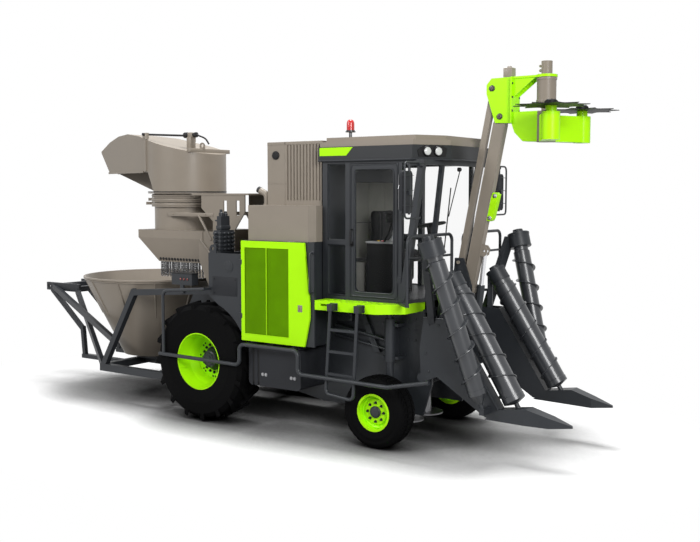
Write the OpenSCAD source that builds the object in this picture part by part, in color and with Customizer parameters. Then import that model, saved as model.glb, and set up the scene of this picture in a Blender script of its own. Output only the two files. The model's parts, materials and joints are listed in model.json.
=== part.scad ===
// Wheeled sugarcane chopper harvester with a raised topper.
// +X is forward, +Y is the machine's left, Z = 0 is the ground.

/* [Wheels] */
// Distance between the front and rear axles
wheelbase = 2560; // [2450:10:2700]
// Outer diameter of a rear tyre over its lugs
rear_tyre_d = 1530; // [1480:10:1560]
// Width of a rear tyre
rear_tyre_w = 440; // [400:5:450]
// Rear rim diameter at the flange
rear_rim_d = 762; // [740:2:780]
// Distance between the rear tyres' centre planes
rear_track = 1912; // [1900:4:1940]
// Outer diameter of a front tyre
front_tyre_d = 830; // [800:5:840]
// Width of a front tyre
front_tyre_w = 300; // [280:5:310]
// Front rim diameter at the flange
front_rim_d = 460; // [440:5:480]
// Distance between the front tyres' centre planes
front_track = 1760; // [1740:5:1790]

/* [Chassis] */
// Inside width of the throat between the two frame plates
throat_w = 920; // [880:10:930]
// Thickness of a frame plate
plate_t = 30; // [20:1:40]
// Height of the main deck
deck_z = 1560; // [1540:5:1580]
// Width over the outer body panels
body_w = 2180; // [2150:10:2200]
// Distance from the rear axle to the rear end of the frame
rear_reach = 3995; // [3900:5:4050]
// Distance from the front axle to the divider tips
front_reach = 2200; // [2150:5:2300]

/* [Cab] */
// Width of the cab
cab_w = 1700; // [1640:10:1720]
// Height of the cab's walls
cab_h = 1605; // [1560:5:1640]
// Length of the cab floor
cab_l = 1120; // [1080:10:1160]
// Thickness of the cab's posts
post_t = 70; // [50:5:80]

/* [Doors] */
// Length of an engine side door
door_l = 966; // [900:2:980]
// Height of an engine side door
door_h = 1216; // [1150:2:1230]
// Thickness of an engine side door
door_t = 26; // [20:1:30]

/* [Extractor] */
// Outer radius of the extractor ring
ring_r = 502; // [480:2:520]
// Outer radius of the hood's drum
hood_r = 548; // [530:2:560]
// Sheet thickness of hood, chamber and bowl
sheet_t = 12; // [8:1:15]
// Rim radius of the receiving bowl
bowl_r = 1020; // [960:10:1030]

/* [Dividers] */
// Radius of an outer scroll's tube
outer_tube_r = 80; // [70:1:85]
// Radius of an inner scroll's tube
inner_tube_r = 88; // [75:1:92]
// Height of a scroll's flight over its tube
flight_h = 54; // [40:1:56]
// Number of turns of an outer scroll's flight
outer_turns = 5.5; // [4:0.5:6]

/* [Topper] */
// Length of the boom between its pivots
boom_l = 2011; // [1950:1:2080]
// Depth of the boom's box section
boom_depth = 140; // [120:2:150]
// Width of the boom's box section
boom_w = 80; // [70:2:84]
// Radius of a gathering disc to its teeth
disc_r = 402; // [380:2:405]
// Number of teeth on a gathering disc
disc_teeth = 10; // [8:1:14]

/* [Hidden] */
$fn = 64;

// Paint colours
lime = [0.60, 0.92, 0.04];
beige = [0.66, 0.60, 0.53];
grey = [0.25, 0.26, 0.28];
black = [0.04, 0.04, 0.04];
steel = [0.45, 0.45, 0.46];
glass = [0.55, 0.65, 0.62, 0.4];

// Running clearance between pieces of different bodies
run = 0.3;
// Clearance round a moving panel
gap = 6;

// Overall places along X, measured from the rear axle
x_tip = wheelbase + front_reach;
x_mid = (x_tip - rear_reach) / 2;

// Frame plates
plate_in = throat_w / 2;
plate_out = plate_in + plate_t;
frame_front = wheelbase + 460;
frame_rear = -830;
body_y = body_w / 2;

// Wheels
rear_r = rear_tyre_d / 2;
rear_z = rear_r;
rear_y = rear_track / 2;
rear_rim_r = rear_rim_d / 2;
front_r = front_tyre_d / 2;
front_z = front_r;
front_y = front_track / 2;
front_rim_r = front_rim_d / 2;
kingpin_y = front_y - 220;
leg_bottom = front_tyre_d + 120;
leg_top = deck_z - 110;
hub_face = rear_y - 125;

// Platform and cab
platform_z = deck_z + 95;
cab_floor = platform_z;
cab_top = cab_floor + cab_h;
cab_rear = 1740;
cab_y = cab_w / 2;
sill_x = cab_rear + cab_l;
lean = 250;
nose_x = sill_x + 90;
nose_y = 430;
door_rear = cab_rear + 395;
door_front = sill_x - 80;
cab_door_t = 36;
roof_h = 270;
door_low = cab_floor + 45;
door_high = cab_top - 40;
cab_hinges = [door_low + 220, door_high - 220];

// Door hinges
knuckle_r = 12;
knuckle_half = 30;
pin_r = 5;
pin_half = knuckle_half + 20;

// Engine side doors
door_x = 704;
door_z = 1099;
door_bulge = 75;
side_axis_y = body_y + gap + door_t / 2;
side_hinges = [door_z + 300, door_z + door_h - 260];
hood_low = door_z + door_h + 8;
hood_top = hood_low + 420;
tower_top = 3505;

// Extractor
ext_x = -1275;
chamber_top = 2380;
ring_low = 2700;
ring_top = 2896;
nose_reach = 1800;
hood_wall = sheet_t;

// Receiving bowl and rear frame
bowl_x = -1930;
bowl_z = 1700;
bowl_floor = 560;
bowl_foot_r = 480;
sub_y = 920;
sub_z = 450;
sub_x = -2050;
apex_y = 335;
apex_z = 1445;

// Topper linkage
boom_base = [wheelbase + 668, 0, 1773];
boom_lean = 11.3;
boom_dir = [sin(boom_lean), 0, cos(boom_lean)];
boom_top = boom_base + boom_l * boom_dir;
link_offset = [-98, 0, 317];
link_base = boom_base + link_offset;
link_top = boom_top + link_offset;
lift_eye = boom_base + 486 * boom_dir + 112 * [cos(boom_lean), 0, -sin(boom_lean)];
lift_base = [boom_base[0] + 102, 0, 1400];
lift_len = norm(lift_eye - lift_base);
spindle_x = boom_top[0] + 530;
disc_x = spindle_x + 240;
disc_y = 430;
disc_z = boom_top[2] + 55;

// Dividers: right side, mirrored for the left
scroll_gap = 0.6;
outer_foot = 110;
inner_foot = 30;
outer_top = [wheelbase + 816, -1075, 2218];
outer_low = [wheelbase + 1236, -862, 750];
inner_top = [wheelbase + 812, -545, 1837];
inner_low = [wheelbase + 1540, -580, 665];
wall_in = 545;
wall_out = 700;
hinge_x = wheelbase + 440;
hinge_z = 820;

// Base cutters
cutter_x = wheelbase - 40;
cutter_y = 232;
cutter_top = 1106;

// Unit vector from a to b
function unit(a, b) = (b - a) / norm(b - a);

// Tangent points of a line from a point at distance d to a circle of radius r
function tangent_angle(r, d) = acos(r / d);

// Moves the design frame, which starts at the rear axle, to the middle of the length
module place() {
    translate([-x_mid, 0, 0]) children();
}

// Draws the right-hand children and their mirror image
module both_sides() {
    children();
    mirror([0, 1, 0]) children();
}

// Left-hand copy of a right-hand piece
module left_side() {
    mirror([0, 1, 0]) children();
}

// Turns +Z to run from a towards b, starting at a
module along(a, b) {
    d = b - a;
    translate(a) rotate([0, acos(d[2] / norm(d)), atan2(d[1], d[0])]) children();
}

// Round bar between two points
module rod(a, b, r) {
    along(a, b) cylinder(h = norm(b - a), r = r);
}

// Flat bar between two points, w in the vertical plane and h across it
module beam(a, b, w, h) {
    along(a, b) translate([-w / 2, -h / 2, 0]) cube([w, h, norm(b - a)]);
}

// Cylinder along Y
module y_round(x, z, y0, y1, r) {
    translate([x, y1, z]) rotate([90, 0, 0]) cylinder(h = y1 - y0, r = r);
}

// Plate drawn in X and Z, between two places across
module side_plate(points, y0, y1) {
    translate([0, y1, 0]) rotate([90, 0, 0]) linear_extrude(y1 - y0) polygon(points);
}

// Bar of a side view between two places [x, z], w wide
module side_bar(a, b, w, y0, y1) {
    n = w / 2 * [a[1] - b[1], b[0] - a[0]] / norm(b - a);
    side_plate([a + n, a - n, b - n, b + n], y0, y1);
}

// Bar of a plan view between two places [x, y], w wide
module level_bar(a, b, w, z0, z1) {
    n = w / 2 * [a[1] - b[1], b[0] - a[0]] / norm(b - a);
    translate([0, 0, z0]) linear_extrude(z1 - z0) polygon([a + n, a - n, b - n, b + n]);
}

// Box from its lowest to its highest corner
module block(low, high) {
    translate(low) cube(high - low);
}

// Box with rounded vertical edges along Y
module soft_block(low, high, r) {
    w = high[0] - low[0];
    h = high[2] - low[2];
    translate([low[0], high[1], low[2]]) rotate([90, 0, 0]) linear_extrude(high[1] - low[1])
        rounded_rect(w, h, r);
}

// Rectangle with round corners, from the origin
module rounded_rect(w, h, r) {
    translate([r, 0]) square([w - 2 * r, h]);
    translate([0, r]) square([w, h - 2 * r]);
    for (x = [r, w - r], y = [r, h - r]) translate([x, y]) circle(r);
}

// Bent round tube through points of a plane, drawn in X and Y
module bent_tube(points, r, bend) {
    last = len(points) - 1;
    swell = 0.8;
    lap = 1;
    function dir(i) = (points[i + 1] - points[i]) / norm(points[i + 1] - points[i]);
    function heading(i) = atan2(dir(i)[1], dir(i)[0]);
    function turn(i) = let (t = heading(i) - heading(i - 1)) t > 180 ? t - 360 : t < -180 ? t + 360 : t;
    function trim(i) = i == 0 || i == last ? 0 : bend * tan(abs(turn(i)) / 2);
    for (i = [0 : last - 1]) {
        from = trim(i) > 0 ? trim(i) - lap : 0;
        to = norm(points[i + 1] - points[i]) - (trim(i + 1) > 0 ? trim(i + 1) - lap : 0);
        start = points[i] + from * dir(i);
        translate([start[0], start[1], 0]) rotate([0, 90, heading(i)]) cylinder(h = to - from, r = r, $fn = 24);
    }
    for (i = [1 : 1 : last - 1]) {
        s = turn(i) > 0 ? 1 : -1;
        from = points[i] - trim(i) * dir(i - 1);
        centre = from + s * bend * [-dir(i - 1)[1], dir(i - 1)[0]];
        first = s > 0 ? heading(i - 1) - 90 : heading(i - 1) + 90 + turn(i);
        translate([centre[0], centre[1], 0]) rotate(first)
            rotate_extrude(angle = abs(turn(i)), $fn = 48) translate([bend, 0]) circle(r + swell, $fn = 24);
    }
}

// Bent tube whose points are X and Z, at a place across
module side_tube(points, y, r, bend) {
    translate([0, y, 0]) rotate([90, 0, 0]) bent_tube(points, r, bend);
}

// Closed solid between two level rectangles [x0, x1, y0, y1]
module frustum(a, za, b, zb) {
    corners = [
        [a[0], a[2], za], [a[1], a[2], za], [a[1], a[3], za], [a[0], a[3], za],
        [b[0], b[2], zb], [b[1], b[2], zb], [b[1], b[3], zb], [b[0], b[3], zb]
    ];
    polyhedron(corners, [[0, 1, 2, 3], [7, 6, 5, 4], [4, 5, 1, 0], [5, 6, 2, 1], [6, 7, 3, 2], [7, 4, 0, 3]]);
}

// Flat pane on four corners, thickened behind them
module pane(a, b, c, d, t) {
    n = cross(b - a, d - a);
    o = t * n / norm(n);
    polyhedron([a, b, c, d, a + o, b + o, c + o, d + o],
        [[0, 1, 2, 3], [7, 6, 5, 4], [4, 5, 1, 0], [5, 6, 2, 1], [6, 7, 3, 2], [7, 4, 0, 3]]);
}

// Frame plates, deck and outriggers
module chassis_frame() {
    outline = [
        [frame_rear, 480], [600, 480], [1500, 330], [wheelbase + 340, 330], [frame_front, 700],
        [frame_front, 1150], [wheelbase + 340, deck_z], [-700, deck_z], [frame_rear, 1300]
    ];
    color(grey) {
        both_sides() side_plate(outline, -plate_out, -plate_in);
        block([-700, -plate_out, deck_z - 40], [wheelbase + 340, plate_out, deck_z]);
        block([frame_rear, -plate_in, 480], [frame_rear + 60, plate_in, 1300]);
        for (x = [780, 1440]) block([x, -body_y + 40, 1040], [x + 100, -plate_out, 1094]);
        for (x = [780, 1440]) block([x, plate_out, 1040], [x + 100, body_y - 40, 1094]);
        y_round(wheelbase + 300, 1380, -plate_in, plate_in, 70);
        block([cutter_x - 110, -plate_in, cutter_top + run], [cutter_x + 110, plate_in, cutter_top + 150]);
        both_sides() y_round(hinge_x, hinge_z, -wall_in + run, -plate_out, 46);
    }
}

// Final drives that carry the rear wheels
module rear_axle() {
    color(grey) both_sides() {
        y_round(0, rear_z, -hub_face + 40, -plate_out, 150);
        y_round(0, rear_z, -hub_face + run, -hub_face + 40, 195);
    }
}

// Front leg housings and the brackets that hold them
module front_axle() {
    color(grey) both_sides() {
        translate([wheelbase, -kingpin_y, leg_bottom]) cylinder(h = leg_top - leg_bottom, r = 62);
        translate([wheelbase, -kingpin_y, leg_top]) cylinder(h = 60, r = 38);
        for (z = [leg_bottom + 30, leg_top - 90])
            block([wheelbase - 110, -kingpin_y, z], [wheelbase + 110, -plate_out, z + 34]);
        block([wheelbase - 15, -kingpin_y + 50, leg_bottom + 60], [wheelbase + 15, -plate_out, leg_top - 90]);
    }
}

// Engine, closed inside the housing
module engine_block() {
    color(black) block([330, -380, deck_z], [1560, 380, deck_z + 640]);
}

// Outline of a side panel over the rear wheel and round the side door
function housing_outline() = [
    [137, rear_z + 845], [137, 2145], [door_x - 10, 2145], [door_x - 10, hood_low - 2], [1795, hood_low - 2],
    [1795, door_z], [700, door_z], [520, 1350]
];

// Grey panels round the engine bay
module engine_housing() {
    wall = 30;
    color(grey) {
        both_sides() difference() {
            side_plate(housing_outline(), -body_y, -body_y + wall);
            y_round(0, rear_z, -body_y - 1, -body_y + wall + 1, rear_r + 28);
            block([door_x + 50, -body_y - 1, door_z + 46], [door_x + door_l - 60, -body_y + wall + 1, hood_low - 60]);
        }
        block([1690, -body_y + wall, 1094], [1720, -plate_out - 180, hood_low - 2]);
        block([1690, plate_out + 180, 1094], [1720, body_y - wall, hood_low - 2]);
        block([1690, -plate_out - 180, deck_z], [1720, plate_out + 180, hood_low - 2]);
        block([780, -body_y + wall, 1094], [880, -plate_out, 1110]);
        block([780, plate_out, 1094], [880, body_y - wall, 1110]);
        block([160, -body_y + wall, 2080], [220, body_y - wall, 2140]);
        both_sides() for (z = side_hinges) {
            knuckle(door_x, -side_axis_y, z);
            block([door_x - 54, -side_axis_y - 5, z - knuckle_half], [door_x - 6, -body_y, z + knuckle_half]);
        }
    }
}

// Fixed knuckle of a door hinge, with its pin
module knuckle(x, y, z) {
    translate([x, y, z]) {
        cylinder(h = 2 * knuckle_half, r = knuckle_r, center = true);
        cylinder(h = 2 * pin_half, r = pin_r, center = true);
    }
}

// Room that a door leaves for a fixed knuckle and its pin
module knuckle_room(x, y, z, half_y) {
    half_x = knuckle_r + 2;
    translate([x, y, z]) {
        cube([2 * half_x, 2 * half_y, 2 * (knuckle_half + run)], center = true);
        cylinder(h = 2 * (pin_half + run), r = pin_r + run, center = true);
    }
}

// Beige cover over the engine with chamfered front corners
module engine_hood() {
    y = body_y - 40;
    plan = [[764, -y], [1674, -y], [1728, -y + 90], [1728, y - 90], [1674, y], [764, y]];
    color(beige) {
        translate([0, 0, hood_low - 2]) linear_extrude(hood_top - hood_low + 2) polygon(plan);
        side_tube([[815, hood_top - 10], [815, hood_top + 130], [680, hood_top + 190]], -750, 38, 75);
        translate([815, -750, hood_top - 1]) cylinder(h = 16, r = 48);
    }
}

// Cooling housing with upright ribs
module cooling_tower() {
    half = 800;
    front = cab_rear - 50;
    rib_pitch = 48;
    color(beige) {
        difference() {
            block([866, -half, hood_top], [front, half, tower_top]);
            for (s = [-1, 1], i = [0 : 10])
                block([1170 + i * rib_pitch, s * half - 14, hood_top + 60],
                    [1170 + i * rib_pitch + 24, s * half + 14, tower_top - 40]);
        }
    }
}

// Rounded tanks below the side doors
module fuel_tanks() {
    tank_rear = rear_r + 25;
    color(grey) both_sides() difference() {
        soft_block([tank_rear, -body_y, 555], [1590, -plate_out - 90, 1040], 60);
        for (x = [tank_rear + 60, tank_rear + 140]) difference() {
            block([x, -body_y - 1, 500], [x + 28, -plate_out - 80, 1100]);
            soft_block([tank_rear + 12, -body_y + 12, 567], [1578, -plate_out - 60, 1028], 50);
        }
    }
}

// Guard tubes along both sides
module side_rails() {
    r = 24;
    y = -body_y - 120;
    rail = [
        [-633, 818], [742, 803], [742, 1060], [1640, 1060], [1640, 790], [2868, 775], [3400, 885]
    ];
    post = [[-555, 818], [-555, 1640], [178, 1700]];
    color(grey) both_sides() {
        side_tube(rail, y, r, 70);
        side_tube(post, y, r - 4, 90);
        for (x = [812, 1472]) block([x, y + 8, 1044], [x + 36, -body_y + 40, 1076]);
        block([140, y - 10, 1684], [176, -body_y, 1712]);
    }
}

// Access ladder under the right platform
module ladder() {
    y = -body_y - 73;
    top = platform_z - 110;
    loop = [[2078, top + 60], [2010, 600], [2390, 560], [2448, top + 60]];
    color(grey) {
        side_tube(loop, y, 20, 60);
        for (z = [1340, 1090, 830]) {
            back = 2010 + (z - 600) / (top - 600) * 65;
            front = 2390 + (z - 560) / (top - 560) * 55;
            block([back, y - 12, z - 14], [front, y + 12, z + 14]);
        }
        for (x = [2078, 2448]) block([x - 34, y - 24, top + 10], [x + 34, -body_y, top + 90]);
    }
}

// Lime walkways beside the cab
module platforms() {
    plan = [[1800, -body_y], [2640, -body_y], [2900, -880], [2900, -plate_out + 40], [1800, -plate_out + 40]];
    color(lime) both_sides() difference() {
        translate([0, 0, platform_z - 110]) linear_extrude(110) polygon(plan);
        translate([0, 0, platform_z - 111]) linear_extrude(96)
            polygon([[1815, -body_y + 15], [2630, -body_y + 15], [2880, -895], [2880, -plate_out], [1815, -plate_out]]);
        block([1880, -body_y - 1, platform_z - 60], [1980, -body_y + 20, platform_z - 36]);
        block([1700, -plate_out - 1, platform_z - 120], [3000, 0, deck_z]);
    }
}

// Posts, floor and lower walls of the cab
module cab_frame() {
    p = post_t;
    n = 25;
    n_x = nose_x - p / 2;
    n_lean = lean - 60;
    color(grey) {
        translate([0, 0, cab_floor]) linear_extrude(40) polygon([
            [cab_rear, -cab_y], [sill_x, -cab_y], [nose_x, -nose_y], [nose_x, nose_y], [sill_x, cab_y],
            [cab_rear, cab_y]
        ]);
        block([cab_rear, -cab_y, cab_floor], [cab_rear + 30, cab_y, cab_top]);
        both_sides() {
            block([cab_rear, -cab_y, cab_floor], [cab_rear + p, -cab_y + p, cab_top]);
            block([door_rear - p, -cab_y, cab_floor], [door_rear - gap, -cab_y + p, cab_top]);
            block([cab_rear, -cab_y, cab_floor + 640], [door_rear - gap, -cab_y + 40, cab_floor + 690]);
            side_plate([[sill_x - p, cab_floor], [sill_x, cab_floor], [sill_x + lean, cab_top],
                [sill_x + lean - p, cab_top]], -cab_y, -cab_y + p);
            side_plate([[n_x - n, cab_floor], [n_x + n, cab_floor], [n_x + n_lean + n, cab_top],
                [n_x + n_lean - n, cab_top]], -nose_y - n, -nose_y + n);
            level_bar([sill_x + lean - p / 2, -cab_y + p / 2], [n_x + n_lean, -nose_y], 60, cab_top - 60, cab_top);
        }
        block([nose_x - 60, -nose_y, cab_floor], [nose_x - 10, nose_y, cab_floor + 60]);
        block([nose_x + lean - 130, -nose_y, cab_top - 60], [nose_x + lean - 70, nose_y, cab_top]);
        both_sides() {
            block([cab_rear, -cab_y, cab_top - 34], [sill_x + lean - 60, -cab_y + p, cab_top]);
            block([door_front + gap, -cab_y, cab_floor], [door_front + 50, -cab_y + 50, cab_top]);
        }
        for (z = cab_hinges) {
            knuckle(door_front, -cab_y, z);
            block([door_front + 4, -cab_y - 8, z - knuckle_half], [door_front + 46, -cab_y, z + knuckle_half]);
        }
        block([cab_rear, -cab_y, cab_top - 34], [cab_rear + p, cab_y, cab_top]);
    }
}

// Leaning pane between two posts' feet, trimmed to the gap between the posts
module front_pane(a, b, y0, y1, low) {
    t = 8;
    intersection() {
        pane(a + [0, 0, -10], b + [0, 0, -10], b + lean_of(b) * 1.01, a + lean_of(a) * 1.01, t);
        block([cab_rear, y0, low], [sill_x + 900, y1, cab_top - 60]);
    }
}

// How far a post's head stands from its foot: the corner posts lean most
function lean_of(p) = [abs(p[1]) > nose_y + 1 ? lean : lean - 60, 0, cab_h];

// Fixed three-cornered pane between the door and the corner post
module quarter_pane(y, t) {
    foot = sill_x - post_t - 4;
    jamb = door_front + 50;
    low = 520;
    side_plate([[jamb, cab_floor + low], [foot + lean * low / cab_h, cab_floor + low],
        [foot + lean * (1 - 34 / cab_h), cab_top - 34], [jamb, cab_top - 34]], y, y + t);
}

// Fixed panes
module cab_glass() {
    t = 8;
    inset = 26;
    y = -cab_y + inset;
    low = cab_floor + 45;
    a_foot = [sill_x - post_t / 2, -cab_y + post_t / 2, cab_floor];
    n_foot = [nose_x - post_t / 2, -nose_y, cab_floor];
    color(glass) {
        both_sides() {
            block([cab_rear + post_t, y, low], [door_rear - post_t, y + t, cab_floor + 640]);
            block([cab_rear + post_t, y, cab_floor + 690], [door_rear - post_t, y + t, cab_top - 34]);
            front_pane(a_foot, n_foot, -cab_y + post_t, -nose_y - 25, cab_floor + 40);
            quarter_pane(y, t);
        }
        front_pane(n_foot, [n_foot[0], nose_y, n_foot[2]], -nose_y + 25, nose_y - 25, cab_floor + 60);
    }
}

// Roof slab with chamfered front corners over a darker fascia
module cab_roof() {
    y = cab_y + 30;
    front = nose_x + lean + 30;
    fascia_h = 160;
    crown_h = 60;
    function plan(d) = [
        [cab_rear - 40 + d, -y + d], [front - 250, -y + d], [front - d, -nose_y - 20], [front - d, nose_y + 20],
        [front - 250, y - d], [cab_rear - 40 + d, y - d]
    ];
    color(beige) {
        translate([0, 0, cab_top]) linear_extrude(fascia_h) polygon(plan(0));
        translate([0, 0, cab_top + fascia_h]) linear_extrude(crown_h) polygon(plan(14));
        translate([0, 0, cab_top + fascia_h + crown_h]) linear_extrude(roof_h - fascia_h - crown_h) polygon(plan(70));
    }
}

// Round work lamps on the roof's chamfers and the front rail
module roof_lamps() {
    front = nose_x + lean + 30;
    y = cab_y + 30;
    a = [front - 250, -y, cab_top + 90];
    b = [front, -nose_y - 20, cab_top + 90];
    out = [b[1] - a[1], a[0] - b[0], 0] / norm(b - a);
    color([0.9, 0.9, 0.88]) both_sides() for (k = [0.36, 0.64])
        rod(a + k * (b - a), a + k * (b - a) + 25 * out, 44);
}

// Operator's seat
module operator_seat() {
    color(black) {
        block([2080, -130, cab_floor + 40], [2320, 130, cab_floor + 420]);
        soft_block([2000, -250, cab_floor + 420], [2480, 250, cab_floor + 540], 50);
        soft_block([1960, -240, cab_floor + 540], [2090, 240, cab_floor + 1050], 50);
    }
}

// Steering column, wheel and arm console
module control_console() {
    hub = [2700, 0, cab_floor + 860];
    foot = [2835, 0, cab_floor + 70];
    color(black) {
        rod(foot, hub, 45);
        block([2780, -70, cab_floor + 40], [2885, 70, cab_floor + 110]);
        along(hub, 2 * hub - foot) rotate_extrude() translate([175, 0]) circle(16);
        along(hub, 2 * hub - foot) for (a = [0, 120, 240]) rotate(a) translate([0, -10, -10]) cube([175, 20, 20]);
        block([2060, -400, cab_floor + 40], [2440, -300, cab_floor + 640]);
    }
}

// Handrails in front of the cab, and the mirrors
module front_rails() {
    r = 18;
    x = 3070;
    outer = -1120;
    inner = -135;
    foot = platform_z + 15;
    rail_top = 2420;
    head_x = 3065;
    arm_z = cab_top - 60;
    arm_y = -cab_y - 230;
    color(grey) both_sides() {
        translate([x, 0, 0]) rotate([90, 0, 90])
            bent_tube([[outer, foot], [outer, rail_top], [inner, rail_top], [inner, foot + 10]], r, 80);
        translate([x, 0, 0]) rotate([90, 0, 90]) bent_tube([[outer, 2180], [inner, 2180]], r - 4, 80);
        level_bar([2830, -880], [x, outer], 44, platform_z, platform_z + 30);
        block([nose_x, inner - 22, cab_floor], [x + 16, inner + 22, cab_floor + 34]);
        rod([head_x, -cab_y, arm_z], [head_x, arm_y - 20, arm_z], r);
        rod([head_x, arm_y, arm_z + 30], [head_x, arm_y, 2660], r - 3);
        block([head_x - 45, arm_y - 130, 2680], [head_x - 10, arm_y + 70, 3120]);
    }
}

// Warning beacon behind the cab
module beacon() {
    color("red") translate([cab_rear + 85, -400, cab_top + roof_h]) {
        cylinder(h = 80, r = 20);
        translate([0, 0, 80]) cylinder(h = 30, r = 62);
        translate([0, 0, 110]) cylinder(h = 130, r = 50);
    }
}

// Funnel under the extractor with its side plates and fan motor
module extractor_chamber() {
    top = [-1755, -520, -500, 500];
    foot = [-1420, -560, -430, 430];
    t = sheet_t;
    neck_r = ring_r - 40;
    stand = [[-340, chamber_top - 40], [-340, 2870], [220, 2870], [220, 2640], [40, 2400], [40, 2060]];
    gusset = [[-600, chamber_top], [-600, 1990], [-380, deck_z], [50, deck_z], [50, 2075], [-330, chamber_top]];
    color(beige) {
        difference() {
            union() {
                frustum(foot, 1940, top, 2270);
                block([top[0], top[2], 2270], [top[1], top[3], chamber_top]);
                translate([ext_x, 0, chamber_top]) cylinder(h = ring_low - chamber_top, r = neck_r);
            }
            frustum(foot + [t, -t, t, -t], 1939, top + [t, -t, t, -t], 2270);
            block([top[0] + t, top[2] + t, 2269], [top[1] - t, top[3] - t, chamber_top - t]);
            translate([ext_x, 0, 2300]) cylinder(h = ring_low - 2300 + 1, r = neck_r - t);
        }
        both_sides() side_plate(gusset, -plate_out, -plate_out + 20);
        both_sides() difference() {
            side_plate(stand, -plate_out, -plate_out + 20);
            for (x = [-150, 70]) block([x, -plate_out - 1, 2600], [x + 60, -plate_out + 21, 2790]);
        }
        block([ext_x + hood_r + 14, -plate_out - 10, 2862], [295, plate_out + 10, 2884]);
        for (a = [45, 135]) translate([ext_x, 0, 2440]) rotate(a)
            translate([-neck_r + t / 2, -25, 0]) cube([2 * neck_r - t, 50, 40]);
        translate([ext_x, 0, 2400]) cylinder(h = 120, r = 110);
    }
}

// Ribbed ring that the hood turns on
module extractor_ring() {
    r = ring_r - 40;
    color(beige) translate([ext_x, 0, 0]) rotate_extrude() {
        translate([r - sheet_t, ring_low]) square([sheet_t, ring_top - ring_low]);
        for (z = [ring_low, ring_low + 62, ring_low + 124])
            translate([r - sheet_t, z]) square([ring_r - r + sheet_t, 14]);
        translate([r - sheet_t, ring_top - 14]) square([hood_r - r + sheet_t, 14]);
    }
}

// Four-bladed extractor fan
module extractor_fan() {
    z = 2520 + run;
    color(steel) translate([ext_x, 0, z]) {
        cylinder(h = 90, r = 90);
        for (a = [0 : 90 : 270]) rotate(a) translate([80, 0, 45]) rotate([28, 0, 0])
            translate([0, -70, -5]) cube([335, 140, 10]);
    }
}

// Teardrop plan of the hood
module hood_plan(r, reach) {
    a = tangent_angle(r, reach);
    circle(r, $fn = 96);
    polygon([[-reach, 0], [-r * cos(a), -r * sin(a)], [-r * cos(a), r * sin(a)]]);
}

// Side outline of the hood, lowered by a wall thickness
module hood_outline(t) {
    low = ring_top + run;
    polygon([
        [600, low - 2 * t], [600, 3400 - t], [560, 3420 - t], [-560, 3690 - t], [-900, 3735 - t], [-1200, 3715 - t],
        [-1500, 3640 - t], [-1815 + t, 3510 - t], [-1515 + t, 3180 - t], [-900 + t, low - 2 * t]
    ]);
}

// Hood that throws the trash rearward
module extractor_hood() {
    t = hood_wall;
    low = ring_top + run;
    color(beige) translate([ext_x, 0, 0]) {
        difference() {
            intersection() {
                translate([0, 0, low]) linear_extrude(1000) hood_plan(hood_r, nose_reach);
                translate([0, 1000, 0]) rotate([90, 0, 0]) linear_extrude(2000) hood_outline(0);
            }
            intersection() {
                translate([0, 0, low - 1]) linear_extrude(1000) hood_plan(hood_r - t, nose_reach - 3 * t);
                translate([0, 1000, 0]) rotate([90, 0, 0]) linear_extrude(2000) hood_outline(t);
            }
            side_plate([[-2000, low - 1], [-120, low - 1], [-290, 3180], [-2000, 3180]], -1000, 0);
        }
    }
}

// Conical bowl that receives the cut cane
module receiving_bowl() {
    t = sheet_t;
    color(beige) translate([bowl_x, 0, 0]) rotate_extrude() {
        polygon([
            [0, bowl_floor], [bowl_foot_r, bowl_floor], [bowl_r, bowl_z - 24], [bowl_r + 16, bowl_z - 24],
            [bowl_r + 16, bowl_z], [bowl_r - t, bowl_z], [bowl_foot_r - t, bowl_floor + t], [0, bowl_floor + t]
        ]);
    }
}

// Chains that hang round the funnel's mouth
module chain_curtain() {
    w = 18;
    low = 1745;
    top = 1940;
    rear = 9;
    side = 8;
    color(steel) {
        for (i = [0 : rear - 1]) {
            y = -360 + i * 720 / (rear - 1);
            block([-1419, y - w / 2, low], [-1419 + w, y + w / 2, top]);
        }
        both_sides() for (i = [0 : side - 1]) {
            x = -1380 + i * 780 / (side - 1);
            block([x - w / 2, -429, low], [x + w / 2, -429 + w, top]);
        }
    }
}

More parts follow.
